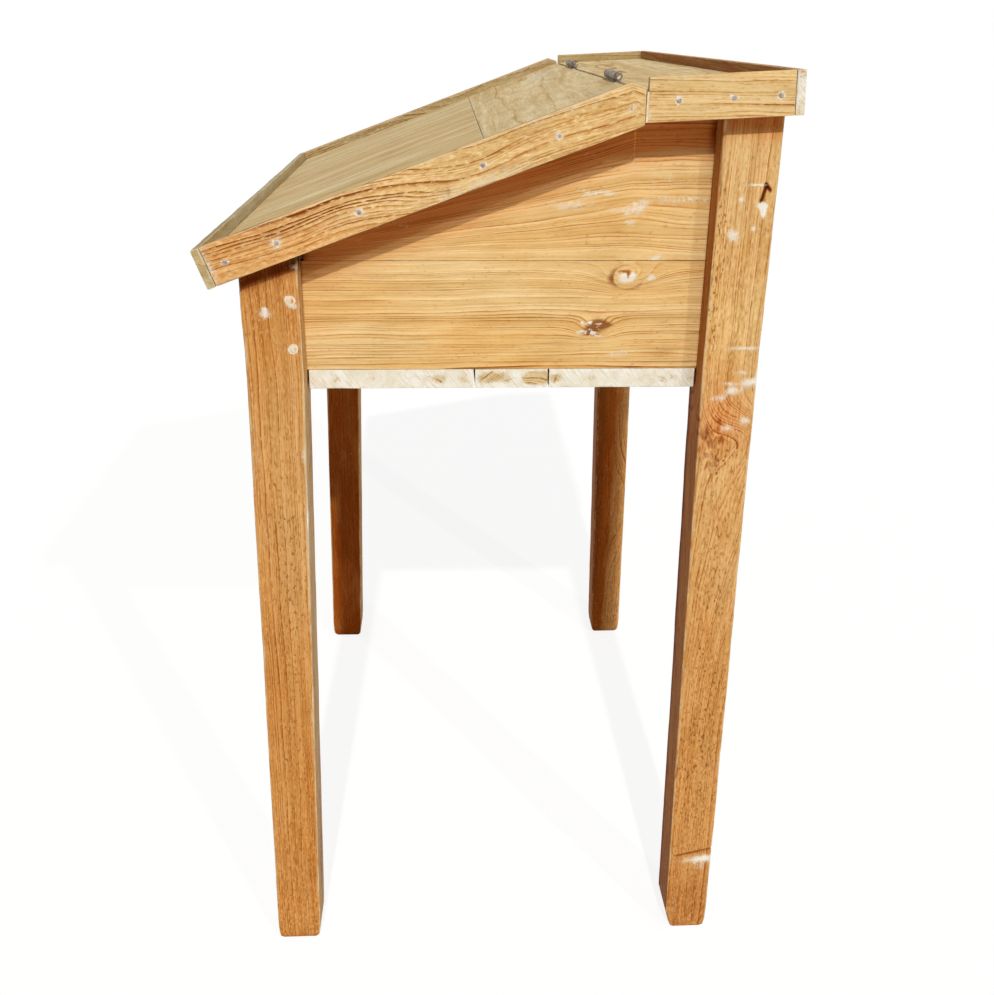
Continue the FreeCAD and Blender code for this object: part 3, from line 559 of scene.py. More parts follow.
    # Worm holes, and tunnels that lie along the grain
    hole = put("TexVoronoi", {"Vector": burrow, "Scale": 1.0}, "Distance")
    hole = put("MapRange", {"Value": hole, "From Min": 0.13, "From Max": 0.22, "To Min": 1.0, "To Max": 0.0})
    tunnel = put("MapRange", {"Value": pores, "From Min": 0.58, "From Max": 0.68})
    reached = put("Math", [ragged, 1.2, worm], operation="MULTIPLY_ADD")
    reached = put("MapRange", {"Value": reached, "From Min": 0.85, "From Max": 1.2, "To Max": 0.8})
    eaten = put("Math", [hole, tunnel], operation="MAXIMUM")
    eaten = put("Math", [eaten, reached], operation="MULTIPLY")

    # White paint clings in pores, in scrapes, along edges and round mended places, and thins out from them
    grit = put("TexNoise", {"Vector": crumb, "Scale": 1.0, "Detail": 2.0})
    cling = paint
    for rise, weight in ((pores, 0.8), (ragged, 1.7), (edge, 0.5), (grit, 0.9)):
        cling = put("Math", [rise, weight, cling], operation="MULTIPLY_ADD")
    cling = put("MapRange", {"Value": cling, "From Min": 1.98, "From Max": 2.42, "To Max": 0.9})
    thin = put("MapRange", {"Value": paint, "From Min": 0.15, "From Max": 0.85, "To Min": 1.0, "To Max": 0.0})
    cover = put("MapRange", {"Value": thin, "To Min": 1.0, "To Max": 0.5})
    painted = put("Math", [cling, cover], operation="MULTIPLY")

    # It is stained where it is dirty or thin, and between the slanting marks of a brush 2.2 mm apart
    slant = put("Mapping", {"Vector": timber, "Rotation": (0.7, 0, 0), "Scale": (40, 2.2, 14)},
                vector_type="TEXTURE")
    brush = put("TexNoise", {"Vector": slant, "Scale": 1.0, "Detail": 3.0})
    brushed = put("MapRange", {"Value": brush, "From Min": 0.48, "From Max": 0.66, "To Max": 0.7})
    stained = put("MapRange", {"Value": dirt, "From Max": soil, "To Max": 0.7})
    for more in (thin, brushed):
        stained = put("Math", [stained, more], operation="MAXIMUM")
    white, cream = (*settings.paint, 1), (*settings.old_paint, 1)
    coat = put("Mix", {FACTOR: stained, UNDER: white, OVER: cream}, RESULT, **LAY)

    layers = (
        (patch, blush, TINT), (spell, POOR_YEARS, TINT), (stroke, FIBRES, TINT), (pits, PORES, TINT),
        (raised, early, LAY), (tone, REDDENED_AND_SHADE, TINT), (greyed, GREYED, TINT), (amber, AMBER_AND_SHADE, TINT),
        (dirt, DIRT, TINT), (heart, settings.knot, LAY), (rubbed, early, LAY), (varnish_and_shade, VARNISH_AND_SHADE, TINT),
        (grime_and_shade, GRIME_AND_SHADE, TINT), (eaten, settings.hole, LAY),
    )
    for share, over, how in layers:
        shade = put("Mix", {FACTOR: share, UNDER: shade, OVER: (*over, 1)}, RESULT, **how)
    shade = put("Mix", {FACTOR: painted, UNDER: shade, OVER: coat}, RESULT, **LAY)
    gloss = put("MapRange", {"Value": fibre, "To Min": 0.5, "To Max": 0.68})
    gloss = put("Math", [painted, 0.16, gloss], operation="MULTIPLY_ADD")
    lumps = put("Math", [ragged, brush], operation="ADD")
    lumps = put("Math", [painted, lumps], operation="MULTIPLY")
    height = put("Math", [fibre, 0.45], operation="MULTIPLY")
    for rise, weight in ((dense, 0.35), (eaten, -0.35), (lumps, 0.7)):
        height = put("Math", [rise, weight, height], operation="MULTIPLY_ADD")
    finish_surface(put, shade, gloss, height, depth=0.0004, specular=0.03)
    return material


# Wrought hinges under remains of paint: dark iron and an uneven coat of rust
def rusted_iron():
    settings = bpy.context.scene.desk_metal
    material, put = new_material("wrought_iron_rusted")
    place = put("TexCoord", out="Object")
    blotch = put("TexNoise", {"Vector": place, "Scale": MM / 9, "Detail": 5.0})
    grit = put("TexNoise", {"Vector": place, "Scale": MM / 2.5, "Detail": 4.0})
    rust = put("MapRange", {"Value": blotch, "From Min": 0.42, "From Max": 0.62})
    shade = put("Mix", {FACTOR: rust, UNDER: (*settings.iron, 1), OVER: (*settings.rust, 1)}, RESULT, **LAY)
    covered = put("MapRange", {"Value": grit, "From Min": 0.56, "From Max": 0.66, "To Max": 0.85})
    paint = (*bpy.context.scene.desk_pine.filler, 1)
    shade = put("Mix", {FACTOR: covered, UNDER: shade, OVER: paint}, RESULT, **LAY)
    rough = put("MapRange", {"Value": rust, "To Min": 0.5, "To Max": 0.8})
    finish_surface(put, shade, rough, grit, depth=0.0003, specular=0.5, metallic=0.25)
    return material


# Drawn steel nails and screws with dull heads, filed bright in places and still painted over in others
def dull_steel():
    settings = bpy.context.scene.desk_metal
    material, put = new_material("drawn_steel_dull")
    place = put("TexCoord", out="Object")
    film = put("TexNoise", {"Vector": place, "Scale": MM / 4, "Detail": 4.0})
    tarnish = put("MapRange", {"Value": film, "From Min": 0.4, "From Max": 0.62})
    bright, dull = (*settings.nail, 1), (*settings.tarnish, 1)
    shade = put("Mix", {FACTOR: tarnish, UNDER: bright, OVER: dull}, RESULT, **LAY)
    rough = put("MapRange", {"Value": tarnish, "To Min": 0.4, "To Max": 0.65})
    covered = put("TexNoise", {"Vector": place, "Scale": MM / 40, "Detail": 1.0})
    covered = put("MapRange", {"Value": covered, "From Min": 0.52, "From Max": 0.6, "To Max": 0.8})
    paint = (*bpy.context.scene.desk_pine.filler, 1)
    shade = put("Mix", {FACTOR: covered, UNDER: shade, OVER: paint}, RESULT, **LAY)
    bare = put("MapRange", {"Value": covered, "To Min": 0.5, "To Max": 0.0})
    finish_surface(put, shade, rough, film, depth=0.0003, specular=0.5, metallic=bare)
    return material


# Chalky stopping pressed round nails and pegs: matt, gritty, yellowed where wax has soaked in
def chalk_filler():
    settings = bpy.context.scene.desk_pine
    material, put = new_material("chalk_filler_dried")
    place = put("TexCoord", out="Object")
    soak = put("TexNoise", {"Vector": place, "Scale": MM / 4, "Detail": 5.0, "Roughness": 0.65})
    grit = put("TexNoise", {"Vector": place, "Scale": MM / 1.2, "Detail": 2.0})
    soaked = put("MapRange", {"Value": soak, "From Min": 0.42, "From Max": 0.64, "To Max": 0.9})
    chalk, waxed = (*settings.filler, 1), (*settings.middle, 1)
    shade = put("Mix", {FACTOR: soaked, UNDER: chalk, OVER: waxed}, RESULT, **LAY)
    rough = put("MapRange", {"Value": grit, "To Min": 0.65, "To Max": 0.85})
    finish_surface(put, shade, rough, grit, depth=0.0002, specular=0.3)
    return material


# Riven softwood pegs seen on their ends: honey-brown, with close rings, whitened by stopping at the front
def split_peg():
    settings = bpy.context.scene.desk_pine
    material, put = new_material("pine_peg_riven")
    place = put("TexCoord", out="Object")
    wavy = {"Vector": place, "Scale": MM / 12, "Distortion": 3.0, "Detail": 3.0}
    rings = put("TexWave", wavy, "Fac", bands_direction="Y")
    pores = put("TexNoise", {"Vector": place, "Scale": MM / 3, "Detail": 3.0})
    pale, deep = (*settings.middle, 1), (*settings.late, 1)
    shade = put("Mix", {FACTOR: rings, UNDER: pale, OVER: deep}, RESULT, **LAY)
    pits = put("MapRange", {"Value": pores, "From Min": 0.3, "From Max": 0.55, "To Max": 0.85})
    front = put("SeparateXYZ", [place], "Y")
    front = put("MapRange", {"Value": front, "From Max": 0.1, "To Min": 1.0, "To Max": 0.0})
    pits = put("Math", [pits, front], operation="MULTIPLY")
    shade = put("Mix", {FACTOR: pits, UNDER: shade, OVER: (*settings.filler, 1)}, RESULT, **LAY)
    rough = put("MapRange", {"Value": pores, "To Min": 0.55, "To Max": 0.75})
    finish_surface(put, shade, rough, pores, depth=0.0003, specular=0.25)
    return material


MATERIALS = {}


def finish_of(name):
    """The named material, made once."""
    if name not in MATERIALS:
        tints = bpy.context.scene.desk_pine
        honey = (tints.early, tints.middle, tints.late, tints.line)
        khaki = (tints.top_early, tints.top_middle, tints.top_late, tints.top_line)
        makers = {
            "stripped": partial(pine, "pine_stripped_waxed", honey, linear("#F8E3BF"), soil=0.3),
            "top": partial(pine, "pine_written_on", khaki, linear("#E7D7B8"), soil=0.55),
            "iron": rusted_iron,
            "steel": dull_steel,
            "filler": chalk_filler,
            "peg": split_peg,
        }
        MATERIALS[name] = makers[name]()
    return MATERIALS[name]


# How each board was cut: heart of the tree across and through the board from its lowest corner, lean of the
# heart per unit of length, waviness of the grain in millimetres, redness (below 0 for grey), ring width in
# millimetres and strength of the ring lines. Then what it has all over: amber, raised fibres, paint, worm and
# varnish; a board's marks also lay redness, amber and varnish darkening as painted shade. Last, how round
# its edges are and how wide its mesh is.
PLAIN = {
    "pith": (-40, -120), "lean": (0.01, 0.015), "curl": 9.0, "tone": 0.1, "ring": 3.6, "bold": 1.1,
    "amber": 0.0, "rough": 0.1, "paint": -0.04, "worm": 0.0, "dark": 0.0, "round": 1.0, "step": 1.0,
}
SIDES = (("left", -1), ("right", 1))
LEG_FACE, PANEL_FACE, EDGING_FACE = 355, 331, 375
LEG_WIDE, LEG_THROUGH, PANEL_THICK = 50, 90, 20
STRIP_FACE, STRIP_DEEP = 343, 13
MARK_DEEP, END_DEEP, CORE_DEEP, RIM_DEEP, KNOT_DEEP, SWIRL_DEEP = 9, 14, 20, 28, 30, 60
EVERYWHERE, PAINT_RUN = 900, 30
LID_RISE = 0.368
UP, DOWN = (0, 0, 1), (0, 0, -1)


def timber(**changes):
    """A board's cut: the plain one with some values changed."""
    return {**PLAIN, **changes}


def mark(marks, x, deep=MARK_DEEP, **kinds):
    """Adds marks at a place along X: each kind's rows give a place and a size along Y and Z, and a height."""
    for kind, rows in kinds.items():
        marks[kind] += [((x, y, z), (deep, wide, tall), height) for y, z, wide, tall, height in rows]


def make_board(name, bed, axis, cut, seed, slot, finish="stripped", marks=None, sections=None, fine=NOWHERE):
    """One worn board in place of the CAD node of that name."""
    if sections is None:
        sections = block_sections(node_points(name, bed), axis)
    points, quads, values = worn_block(sections, cut, marks or {}, seed, fine)
    body = "lid" if bed == "lid" else "case"
    make_object(f"worn_{name}", lay(points, bed), quads.tolist(), values, finish_of(finish), body, slot, name)


class DESK_OT_legs(bpy.types.Operator):
    """Four tapered legs with rounded, nicked edges"""

    bl_idname = "desk.legs"
    bl_label = "Legs"

    def execute(self, context):
        common = {"round": 1.7, "curl": 7.0, "step": 0.8, "rough": 0.8, "paint": -0.05, "worm": 0.22}
        for side, sign in SIDES:
            face = LEG_WIDE if sign > 0 else 0
            front = timber(
                pith=(face - sign * 38, -38), lean=(0.004, 0.012), tone=0.56, ring=2.1, bold=1.15, **common
            )
            rear = timber(
                pith=(face - sign * 46, 88), lean=(-0.006, -0.02), tone=0.26, ring=2.2, bold=1.1, **common
            )
            for place, cut, seed in (("front", front, 11), ("rear", rear, 17)):
                name = f"leg_{place}_{side}"
                marks, fine = leg_marks(place, side)
                sections = leg_sections(node_points(name), name == "leg_rear_right")
                make_board(name, "case", 2, cut, seed + sign, "pine_stripped",
                           marks=marks, sections=sections, fine=fine)
        return {"FINISHED"}


def leg_marks(place, side):
    """Old varnish, dirt, wear and painted shade of one leg, and the heights where its mesh is finer."""
    low, high = (np.array(corner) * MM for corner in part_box(f"leg_{place}_{side}"))
    right = side == "right"
    inner, outer = (low[0], high[0]) if right else (high[0], low[0])
    inward = (0, -1, 0) if right else (0, 1, 0)
    x, y = (low + high)[:2] / 2
    marks = defaultdict(list)
    foot_tone = 0.75 if right and place == "rear" else 0.55
    mark(marks, x, EVERYWHERE,
         tone=[(y, 0, EVERYWHERE, 540, foot_tone)], rough=[(y, 0, EVERYWHERE, 110, 0.7)])
    if place == "front":
        mark(marks, x, EVERYWHERE, dark=[(y, -4, EVERYWHERE, 12, 0.4)])
        # Painted shade: a dark band along the leg's top under the lid's edging, deeper than the lamps' shadow
        # there
        for run in range(-214, -160, 10):
            rise = 742 + (run + 216) * LID_RISE
            mark(marks, x, LEG_THROUGH, dark=[(run, rise, 8, 7, 0.9), (run, rise + 12, 8, 7, 0.9)],
                 core=[(run, rise, 7, 5, 0.55)])
        # Painted shade darkens the inner face, which lies in the case's shadow; the back face is greyed and
        # painted
        marks["sides"] += [(inward, "dark", 1.0), (UP, "tone", -0.5), (UP, "paint", 0.45 if right else 0.15)]
    else:
        # Painted shade on the inner face, darkest down its front edge, and redder and darker on the front
        # face, turned from the lamps
        mark(marks, inner, dark=[(211 - 0.033 * z, z, 13 + 0.048 * z, 60, 0.85) for z in range(0, 900, 60)])
        marks["sides"] += [(inward, "dark", 0.15), (DOWN, "dark", 0.5), (DOWN, "tone", 0.9)]
        mark(marks, x, EVERYWHERE, rough=[(y, 100, EVERYWHERE, 330, 0.3)])
        # Painted shadow: redder tone and amber at the top of the outer face, under the shelf's edging
        eave_shadow = (y, high[2] - 12, 90, 12)
        mark(marks, outer, amber=[(*eave_shadow, 1.0)], tone=[(*eave_shadow, 0.9)])
    if right:
        return marks, (wear_front_leg if place == "front" else wear_rear_leg)(marks)
    if place == "rear":
        mark(marks, inner, SWIRL_DEEP, swirl=[(250, 240, 26, 110, 26)])
    return marks, NOWHERE


def wear_front_leg(marks):
    """What the right front leg alone shows: scraps of paint, a filled dent, worm. Returns its fine bands."""
    mark(
        marks, LEG_FACE,
        paint=[
            (-195.7, 716, 6, 4, 0.8), (-196, 721, 3, 3, 0.8), (-178, 634, 5, 16, 0.3),
            (-171, 586, 2, 12, 0.5), (-171, 520, 2, 30, 0.5), (-214, 590, 3, 25, 0.4),
            (-167, 757, 4, 3, 0.6), (-190, 757, 20, 3, 0.15), (-186, 700, 20, 40, 0.12),
            (-174, 728, 7, 6, 0.6), (-170, 723, 6, 3, 0.5), (-173, 685, 7, 7, 0.55),
        ],
        tone=[(-190, 720, 30, 70, 0.3)],
        rough=[(-190, 725, 30, 50, 0.4)],
        worm=[(-190, 480, 14, 150, 0.3), (-200, 250, 16, 120, 0.3)],
        dent=[(-195.7, 716, 4, 4, 1.2)],
    )
    # Less paint on the back face beside the panel, and painted shade at its top, in the gap under the edging
    mark(marks, STRIP_FACE, STRIP_DEEP, paint=[(-165, 715, 5, 60, -0.4)], dark=[(-165, 768, 4, 10, 1.8)])
    return ((700, 765, 1.4),), (), ((3, 48, 1.5),)


def wear_rear_leg(marks):
    """What the right rear leg alone shows: a gouge stopped with paint, knots with the grain turned round
    them, smears of paint and a split foot. Returns its fine bands."""
    gouge = [(231 - 0.5 * k, 826 - 2.4 * k) for k in range(7)]
    gouge += [(231 + 1.3 * k, 826 - 1.4 * k) for k in range(4)]
    crack = [(229 + 4 * k, 112.6 + k) for k in range(-5, 6)]
    chips = np.random.default_rng(3).uniform(-1, 1, (22, 2)) * (13, 26) + (205, 592)
    turned_grain = [(240, 595 - 32 * k, 44, 32, 17 - 1.9 * k) for k in range(9)]
    mark(marks, LEG_FACE, SWIRL_DEEP, swirl=[*turned_grain, (244, 604, 40, 26, 11)])
    mark(marks, LEG_FACE, CORE_DEEP,
         core=[(198, 606, 6, 9, 0.5), (206, 592, 7, 7, 0.3)], dark=[(228, 45, 30, 40, 0.34)])
    mark(
        marks, LEG_FACE,
        core=[(*spot, 1.1, 1.8, 0.8) for spot in gouge],
        bold=[(222, 622, 30, 26, 0.7)],
        paint=[
            (206.5, 784.5, 6.5, 7, 0.75), (210.6, 813.7, 3, 3, 0.8), (229.5, 809, 6, 3.4, 1.0),
            (231, 803, 3, 5, 1.0), (224, 826, 9, 1.5, 0.95), (223, 790, 3, 3, 0.8), (228, 685, 24, 1.8, 0.7),
            (206, 638, 9, 4, 0.7), (220, 645, 10, 5, 0.75), (236, 653, 10, 5, 0.8), (246, 659, 6, 5, 0.75),
            (234, 616, 6, 5, 0.8), (219, 609, 9, 4, 0.6), (206, 578, 8, 12, 0.35), (228, 662, 12, 2.4, 0.55),
            (214, 652, 10, 2.4, 0.5), (240, 630, 6, 3, 0.5), (241, 105, 12, 6, 0.7), (225, 101, 20, 6, 0.55),
            (236, 91, 9, 7, 0.5), (210, 23, 5, 16, 0.4), (225, 740, 30, 110, 0.12),
        ],
        worm=[(196, 750, 6, 60, 0.7), (212, 580, 14, 14, 0.7), (222, 380, 16, 180, 0.34),
              (222, 200, 22, 80, 0.34)],
        amber=[(212, 615, 26, 34, 0.8)],
        tone=[(222, 705, 28, 34, -0.3)],
        rough=[(210, 600, 24, 40, 0.8)],
        dark=[*[(*spot, 3, 1.3, 0.9) for spot in crack], *[(*spot, 1.3, 2.6, 0.9) for spot in chips],
              *[(*spot, 1.2, 1.9, 1.5) for spot in gouge]],
        dent=[*[(*spot, 3, 1.4, 1.1) for spot in crack], (230.5, 806, 4.5, 6, 1.0),
              *[(*spot, 1.4, 2.0, 0.5) for spot in gouge]],
    )
    return ((100, 126, 1.2), (560, 668, 1.6), (785, 832, 1.1)), (), ((3, 48, 1.2),)


class DESK_OT_side_panels(bpy.types.Operator):
    """Side panels of two boards each, grooved into the legs"""

    bl_idname = "desk.side_panels"
    bl_label = "Side panels"

    def execute(self, context):
        common = {"curl": 11.0, "step": 0.36, "round": 0.4, "bold": 1.1}
        for side, sign in SIDES:
            face = PANEL_THICK if sign > 0 else 0
            cuts = {
                "lower": timber(
                    pith=(face - sign * 80, -190), lean=(0.002, -0.012), ring=2.7, tone=0.0, **common
                ),
                "upper": timber(
                    pith=(face - sign * 60, 260), lean=(0.002, 0.02), ring=2.4, tone=0.02, paint=0.05,
                    **common
                ),
            }
            for (place, cut), marks, seed in zip(cuts.items(), panel_marks(sign), (23, 27)):
                name = f"side_panel_{place}_{side}"
                points = node_points(name)
                sections = upper_sections(points) if place == "upper" else block_sections(points, 1)
                make_board(name, "case", 1, cut, seed + sign, "pine_stripped",
                           marks=marks, sections=tongued(sections))
        return {"FINISHED"}


def panel_marks(sign):
    """Knots, paint, old varnish and painted shade of one side: first the lower board's marks, then the upper
    board's. The dark rim of the round knot is one bump less another that is slightly smaller."""
    x = PANEL_FACE * sign
    # Painted shadow of the lid's and shelf's edging: two rows of redder tone and amber along the band below
    # it
    under = [(y, 774 + (y + 150) * LID_RISE) for y in range(-164, 130, 28)]
    under += [(y, 877) for y in range(130, 200, 28)]
    eave_shadow = [(y, z - drop, 26, 12, 0.5) for y, z in under for drop in (5, 19)]
    flecks = np.random.default_rng(5).uniform(-1, 1, (30, 2)) * (10, 7) + (92, 696)
    cracks = [(122.5, 745.5, 1.5, 3.4), (118, 748.5, 4.5, 1.1)]
    lower, upper = defaultdict(list), defaultdict(list)
    mark(lower, x, SWIRL_DEEP, swirl=[(123, 743.5, 26, 13, 15), (95, 697, 18, 10, 9)])
    mark(lower, x, KNOT_DEEP, core=[
        (122, 743.3, 6.9, 5.2, 190), (107, 742, 5, 7, 0.35), (137, 745, 5, 6, -0.3), (130, 753, 8, 4, -0.3),
        (98, 700.5, 9, 5, 1.25), (91, 694, 7, 4, 1.0), (104, 700, 7, 2, 0.5),
    ])
    mark(lower, x, RIM_DEEP, core=[(122, 743.3, 6.42, 4.84, -307)])
    mark(
        lower, x, tone=eave_shadow, amber=eave_shadow,
        paint=[
            (122, 743.3, 8, 5.4, 1.6), (143, 742.6, 5.5, 5, 0.75), *[(*crack, -1.8) for crack in cracks],
            *[(*fleck, 1.7, 1.1, 0.7) for fleck in flecks], (80, 693, 4, 3, 0.55), (112, 672, 12, 5, 0.5),
            (126, 675, 12, 4, 0.4), (19, 736.4, 13, 4, 0.4), (-66, 685, 18, 1.5, 0.55),
        ],
        dark=[(157, 675, 12, 5, 0.34), (189, 693.4, 8, 0.9, 0.7), *[(*crack, 1.2) for crack in cracks]],
    )
    mark(upper, x, SWIRL_DEEP, swirl=[(130, 800, 40, 12, 4)])
    mark(
        upper, x, tone=eave_shadow, amber=eave_shadow,
        paint=[
            (145, 760.3, 9, 4, 0.7), (94, 816, 26, 3.6, 0.62), (129, 806, 9, 5, 0.65),
            (117, 800, 13, 4, 0.58), (172, 810, 28, 3.6, 0.6), (121, 791, 6, 3, 0.6), (70, 806, 30, 6, 0.42),
            (150, 835, 44, 14, 0.22),
        ],
        # Painted shade in the gaps beside the legs, at the upper board's front and rear ends
        dark=[(-163, 764, 4, 16, 0.9), (189, 868, 4, 20, 1.0)],
    )
    return lower, upper


class DESK_OT_cross_boards(bpy.types.Operator):
    """Front apron and the two back boards"""

    bl_idname = "desk.cross_boards"
    bl_label = "Apron and back"

    def execute(self, context):
        cuts = {
            "front_apron": timber(pith=(40, -150), tone=0.15),
            "back_panel_lower": timber(pith=(-60, -90), curl=12.0, tone=0.2, lean=(0.01, -0.02)),
            "back_panel_upper": timber(pith=(-45, 190), tone=0.15),
        }
        for seed, (name, cut) in enumerate(cuts.items(), start=31):
            sections = tongued(block_sections(node_points(name), 0))
            make_board(name, "case", 0, cut, seed, "pine_stripped", sections=sections)
        return {"FINISHED"}


class DESK_OT_floor_boards(bpy.types.Operator):
    """Floor boards with white-painted ends, notched round the legs"""

    bl_idname = "desk.floor_boards"
    bl_label = "Floor boards"

    def execute(self, context):
        for seed, place in enumerate(("front", "middle", "rear"), start=41):
            name = f"floor_board_{place}"
            low, high = (np.array(corner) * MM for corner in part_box(name))
            middle = (low + high) / 2
            bare = low[1] + np.random.default_rng(seed).uniform(0, 1, 7) * (high[1] - low[1])
            ends = [(middle[1], middle[2], EVERYWHERE, EVERYWHERE, 1.15)]
            ends += [(y, middle[2], 6, 5, -0.5) for y in bare]
            if place == "middle":
                ends += [(y, middle[2] + 2, 11, 6, -1.0) for y in (low[1] + 16, high[1] - 4)]
            marks = defaultdict(list)
            for x in (low[0], high[0]):
                mark(marks, x, PAINT_RUN, paint=ends)
            cut = timber(pith=(middle[1] - low[1] + 20, -25), ring=3.4, tone=-0.5, round=0.6, step=0.6)
            sections = floor_sections(node_points(name))
            make_board(name, "case", 0, cut, seed, "pine_painted", marks=marks, sections=sections)
        return {"FINISHED"}


def nail_halos(name, bed, sign):
    """Paint left round the nails of one side's edging, more round some than others."""
    centres = heads(node_points(name, bed), 0, sign)
    sizes = np.random.default_rng(len(centres)).uniform(0.6, 1.2, (len(centres), 3))
    return [(centre, (MARK_DEEP, 6 * wide, 4 * high), 0.62 * coat)
            for centre, (wide, high, coat) in zip(centres, sizes)]


class DESK_OT_shelf(bpy.types.Operator):
    """Level shelf with its edging on three sides"""

    bl_idname = "desk.shelf"
    bl_label = "Shelf"

    def execute(self, context):
        board = timber(pith=(40, -60), lean=(0.02, 0.01), curl=12.0, ring=4.5, tone=0.0, paint=0.08)
        make_board("shelf_board", "shelf", 0, board, 51, "pine_top", "top")
        for side, sign in SIDES:
            edging = timber(
                pith=(4 - sign * 30, -85), lean=(0.0, 0.05), curl=9.0, ring=3.4, tone=-0.12, bold=1.3,
                rough=0.5, paint=0.12, step=0.6, round=0.75
            )
            marks = defaultdict(list)
            mark(marks, EDGING_FACE * sign, paint=[(2, -21, 2, 4, 0.5)], worm=[(12, 1, 7, 4, 0.6)])
            marks["paint"] += nail_halos("shelf_edging_nails", "shelf", sign)
            marks["sides"] += [((0, -sign, 0), "tone", -1.2), (UP, "dark", 0.3 if sign < 0 else 0.0)]
            make_board(f"shelf_edging_{side}", "shelf", 1, edging, 53 + sign, "pine_stripped", marks=marks)
        back = timber(pith=(-30, -60), ring=4.0, tone=0.1, paint=0.1, round=0.7, step=0.6)
        marks = defaultdict(list)
        for side, sign in SIDES:
            end = (123, -8, 30, 20)
            mark(marks, EDGING_FACE * sign, END_DEEP, paint=[(*end, 0.85)], tone=[(*end, -0.8)])
        # A darker inner face: partly stain, partly painted shade where it faces into the desk, away from the
        # lamps
        mark(marks, 0, EVERYWHERE, dark=[(119, 5, 4, 12, 0.85)])
        make_board("back_edging", "shelf", 0, back, 57, "pine_stripped", marks=marks)
        return {"FINISHED"}


class DESK_OT_lid(bpy.types.Operator):
    """Lid boards, edging and battens"""

    bl_idname = "desk.lid"
    bl_label = "Lid"

    def execute(self, context):
        self.lay_boards()
        for side, sign in SIDES:
            edging = timber(
                pith=(4 - sign * 24, -62), lean=(0.0, 0.07), curl=14.0, ring=3.3, tone=-0.1, bold=1.1,
                rough=1.0, paint=0.1, step=0.6
            )
            marks = defaultdict(list)
            mark(
                marks, EDGING_FACE * sign,
                paint=[(-4, -19, 3, 6, 0.7), (-165, -22, 60, 6, 0.35), (-60, 8, 50, 5, 0.3),
                       (-384, -6, 4, 22, 0.5)],
                dark=[(-175, -19, 1.2, 5, 0.8)],
                tone=[(-340, -6, 110, 40, 0.35)],
                bold=[(-310, 2, 120, 24, 2.2)],
                amber=[(-350, -6, 110, 40, 0.3)],
            )
            mark(marks, EDGING_FACE * sign, KNOT_DEEP, swirl=[(-150, -4, 48, 26, 10), (-262, -8, 44, 26, -7)])
            marks["paint"] += nail_halos("lid_edging_nails", "lid", sign)
            marks["sides"] += [((0, -sign, 0), "tone", -1.2), (UP, "dark", 0.6 if sign < 0 else 0.0)]
            name = f"lid_edging_{side}"
            sections = edging_sections(node_points(name, "lid"))
            make_board(name, "lid", 1, edging, 67 + sign, "pine_stripped", marks=marks, sections=sections)
        front = timber(pith=(-20, -70), ring=3.0, tone=-0.9, bold=0.6, paint=0.28, step=0.5, round=1.35)
        make_board("lid_edging_front", "lid", 0, front, 71, "pine_stripped")
        for seed, place in enumerate(("front", "rear"), start=73):
            make_board(f"lid_batten_{place}", "lid", 0, timber(pith=(20, -50), tone=0.3), seed, "pine_top")
        return {"FINISHED"}

    def lay_boards(self):
        """The head board with its arched grain, and three boards down the slope."""
        head = timber(
            pith=(70, -30), lean=(0.03, 0.012), curl=12.0, ring=4.2, tone=0.08, paint=0.12, bold=0.55,
            round=0.6
        )
        seam, marks = defaultdict(list), defaultdict(list)
        for x in (-200, 40, 220):
            mark(seam, x, 40, paint=[(-133, 0, 5, MARK_DEEP, 0.4)])
        scrapes = ((-262, -18, 16, 9, 1.1), (-240, -34, 16, 9, 1.1), (-222, -47, 12, 8, 1.0),
                   (246, -27, 50, 14, 0.35))
        for x, y, long, wide, coat in scrapes:
            mark(marks, x, long, paint=[(y, 0, wide, MARK_DEEP, coat)])
        marks["paint"] += seam["paint"]
        mark(marks, 20, 110, swirl=[(-16, 0, 26, SWIRL_DEEP, 18)])
        make_board("lid_head_board", "lid", 0, head, 61, "pine_top", "top", marks)
        hearts = {"left": ((90, -70), -0.06), "middle": ((160, -45), 0.14), "right": ((300, -60), 0.02)}
        for seed, (side, (pith, tone)) in enumerate(hearts.items(), start=63):
            cut = timber(
                pith=pith, lean=(0.06, 0.02), curl=16.0, ring=4.0, tone=tone, paint=0.14, bold=1.1, round=0.9
            )
            make_board(f"lid_board_{side}", "lid", 1, cut, seed, "pine_top", "top", seam)


HEAD_GAP, HEAD_DOME = 8.0, 0.05


def heads(points, axis, sign):
    """Middles of the round heads that lie outermost along an axis: their points, split at wide gaps."""
    reach = points[:, axis] * sign
    groups = [points[reach > reach.max() - HEAD_DOME]]
    for other in {0, 1, 2} - {axis}:
        ordered = [group[group[:, other].argsort()] for group in groups]
        groups = [part for group in ordered
                  for part in np.split(group, np.flatnonzero(np.diff(group[:, other]) > HEAD_GAP) + 1)]
    return np.array([(group.max(0) + group.min(0)) / 2 for group in groups])


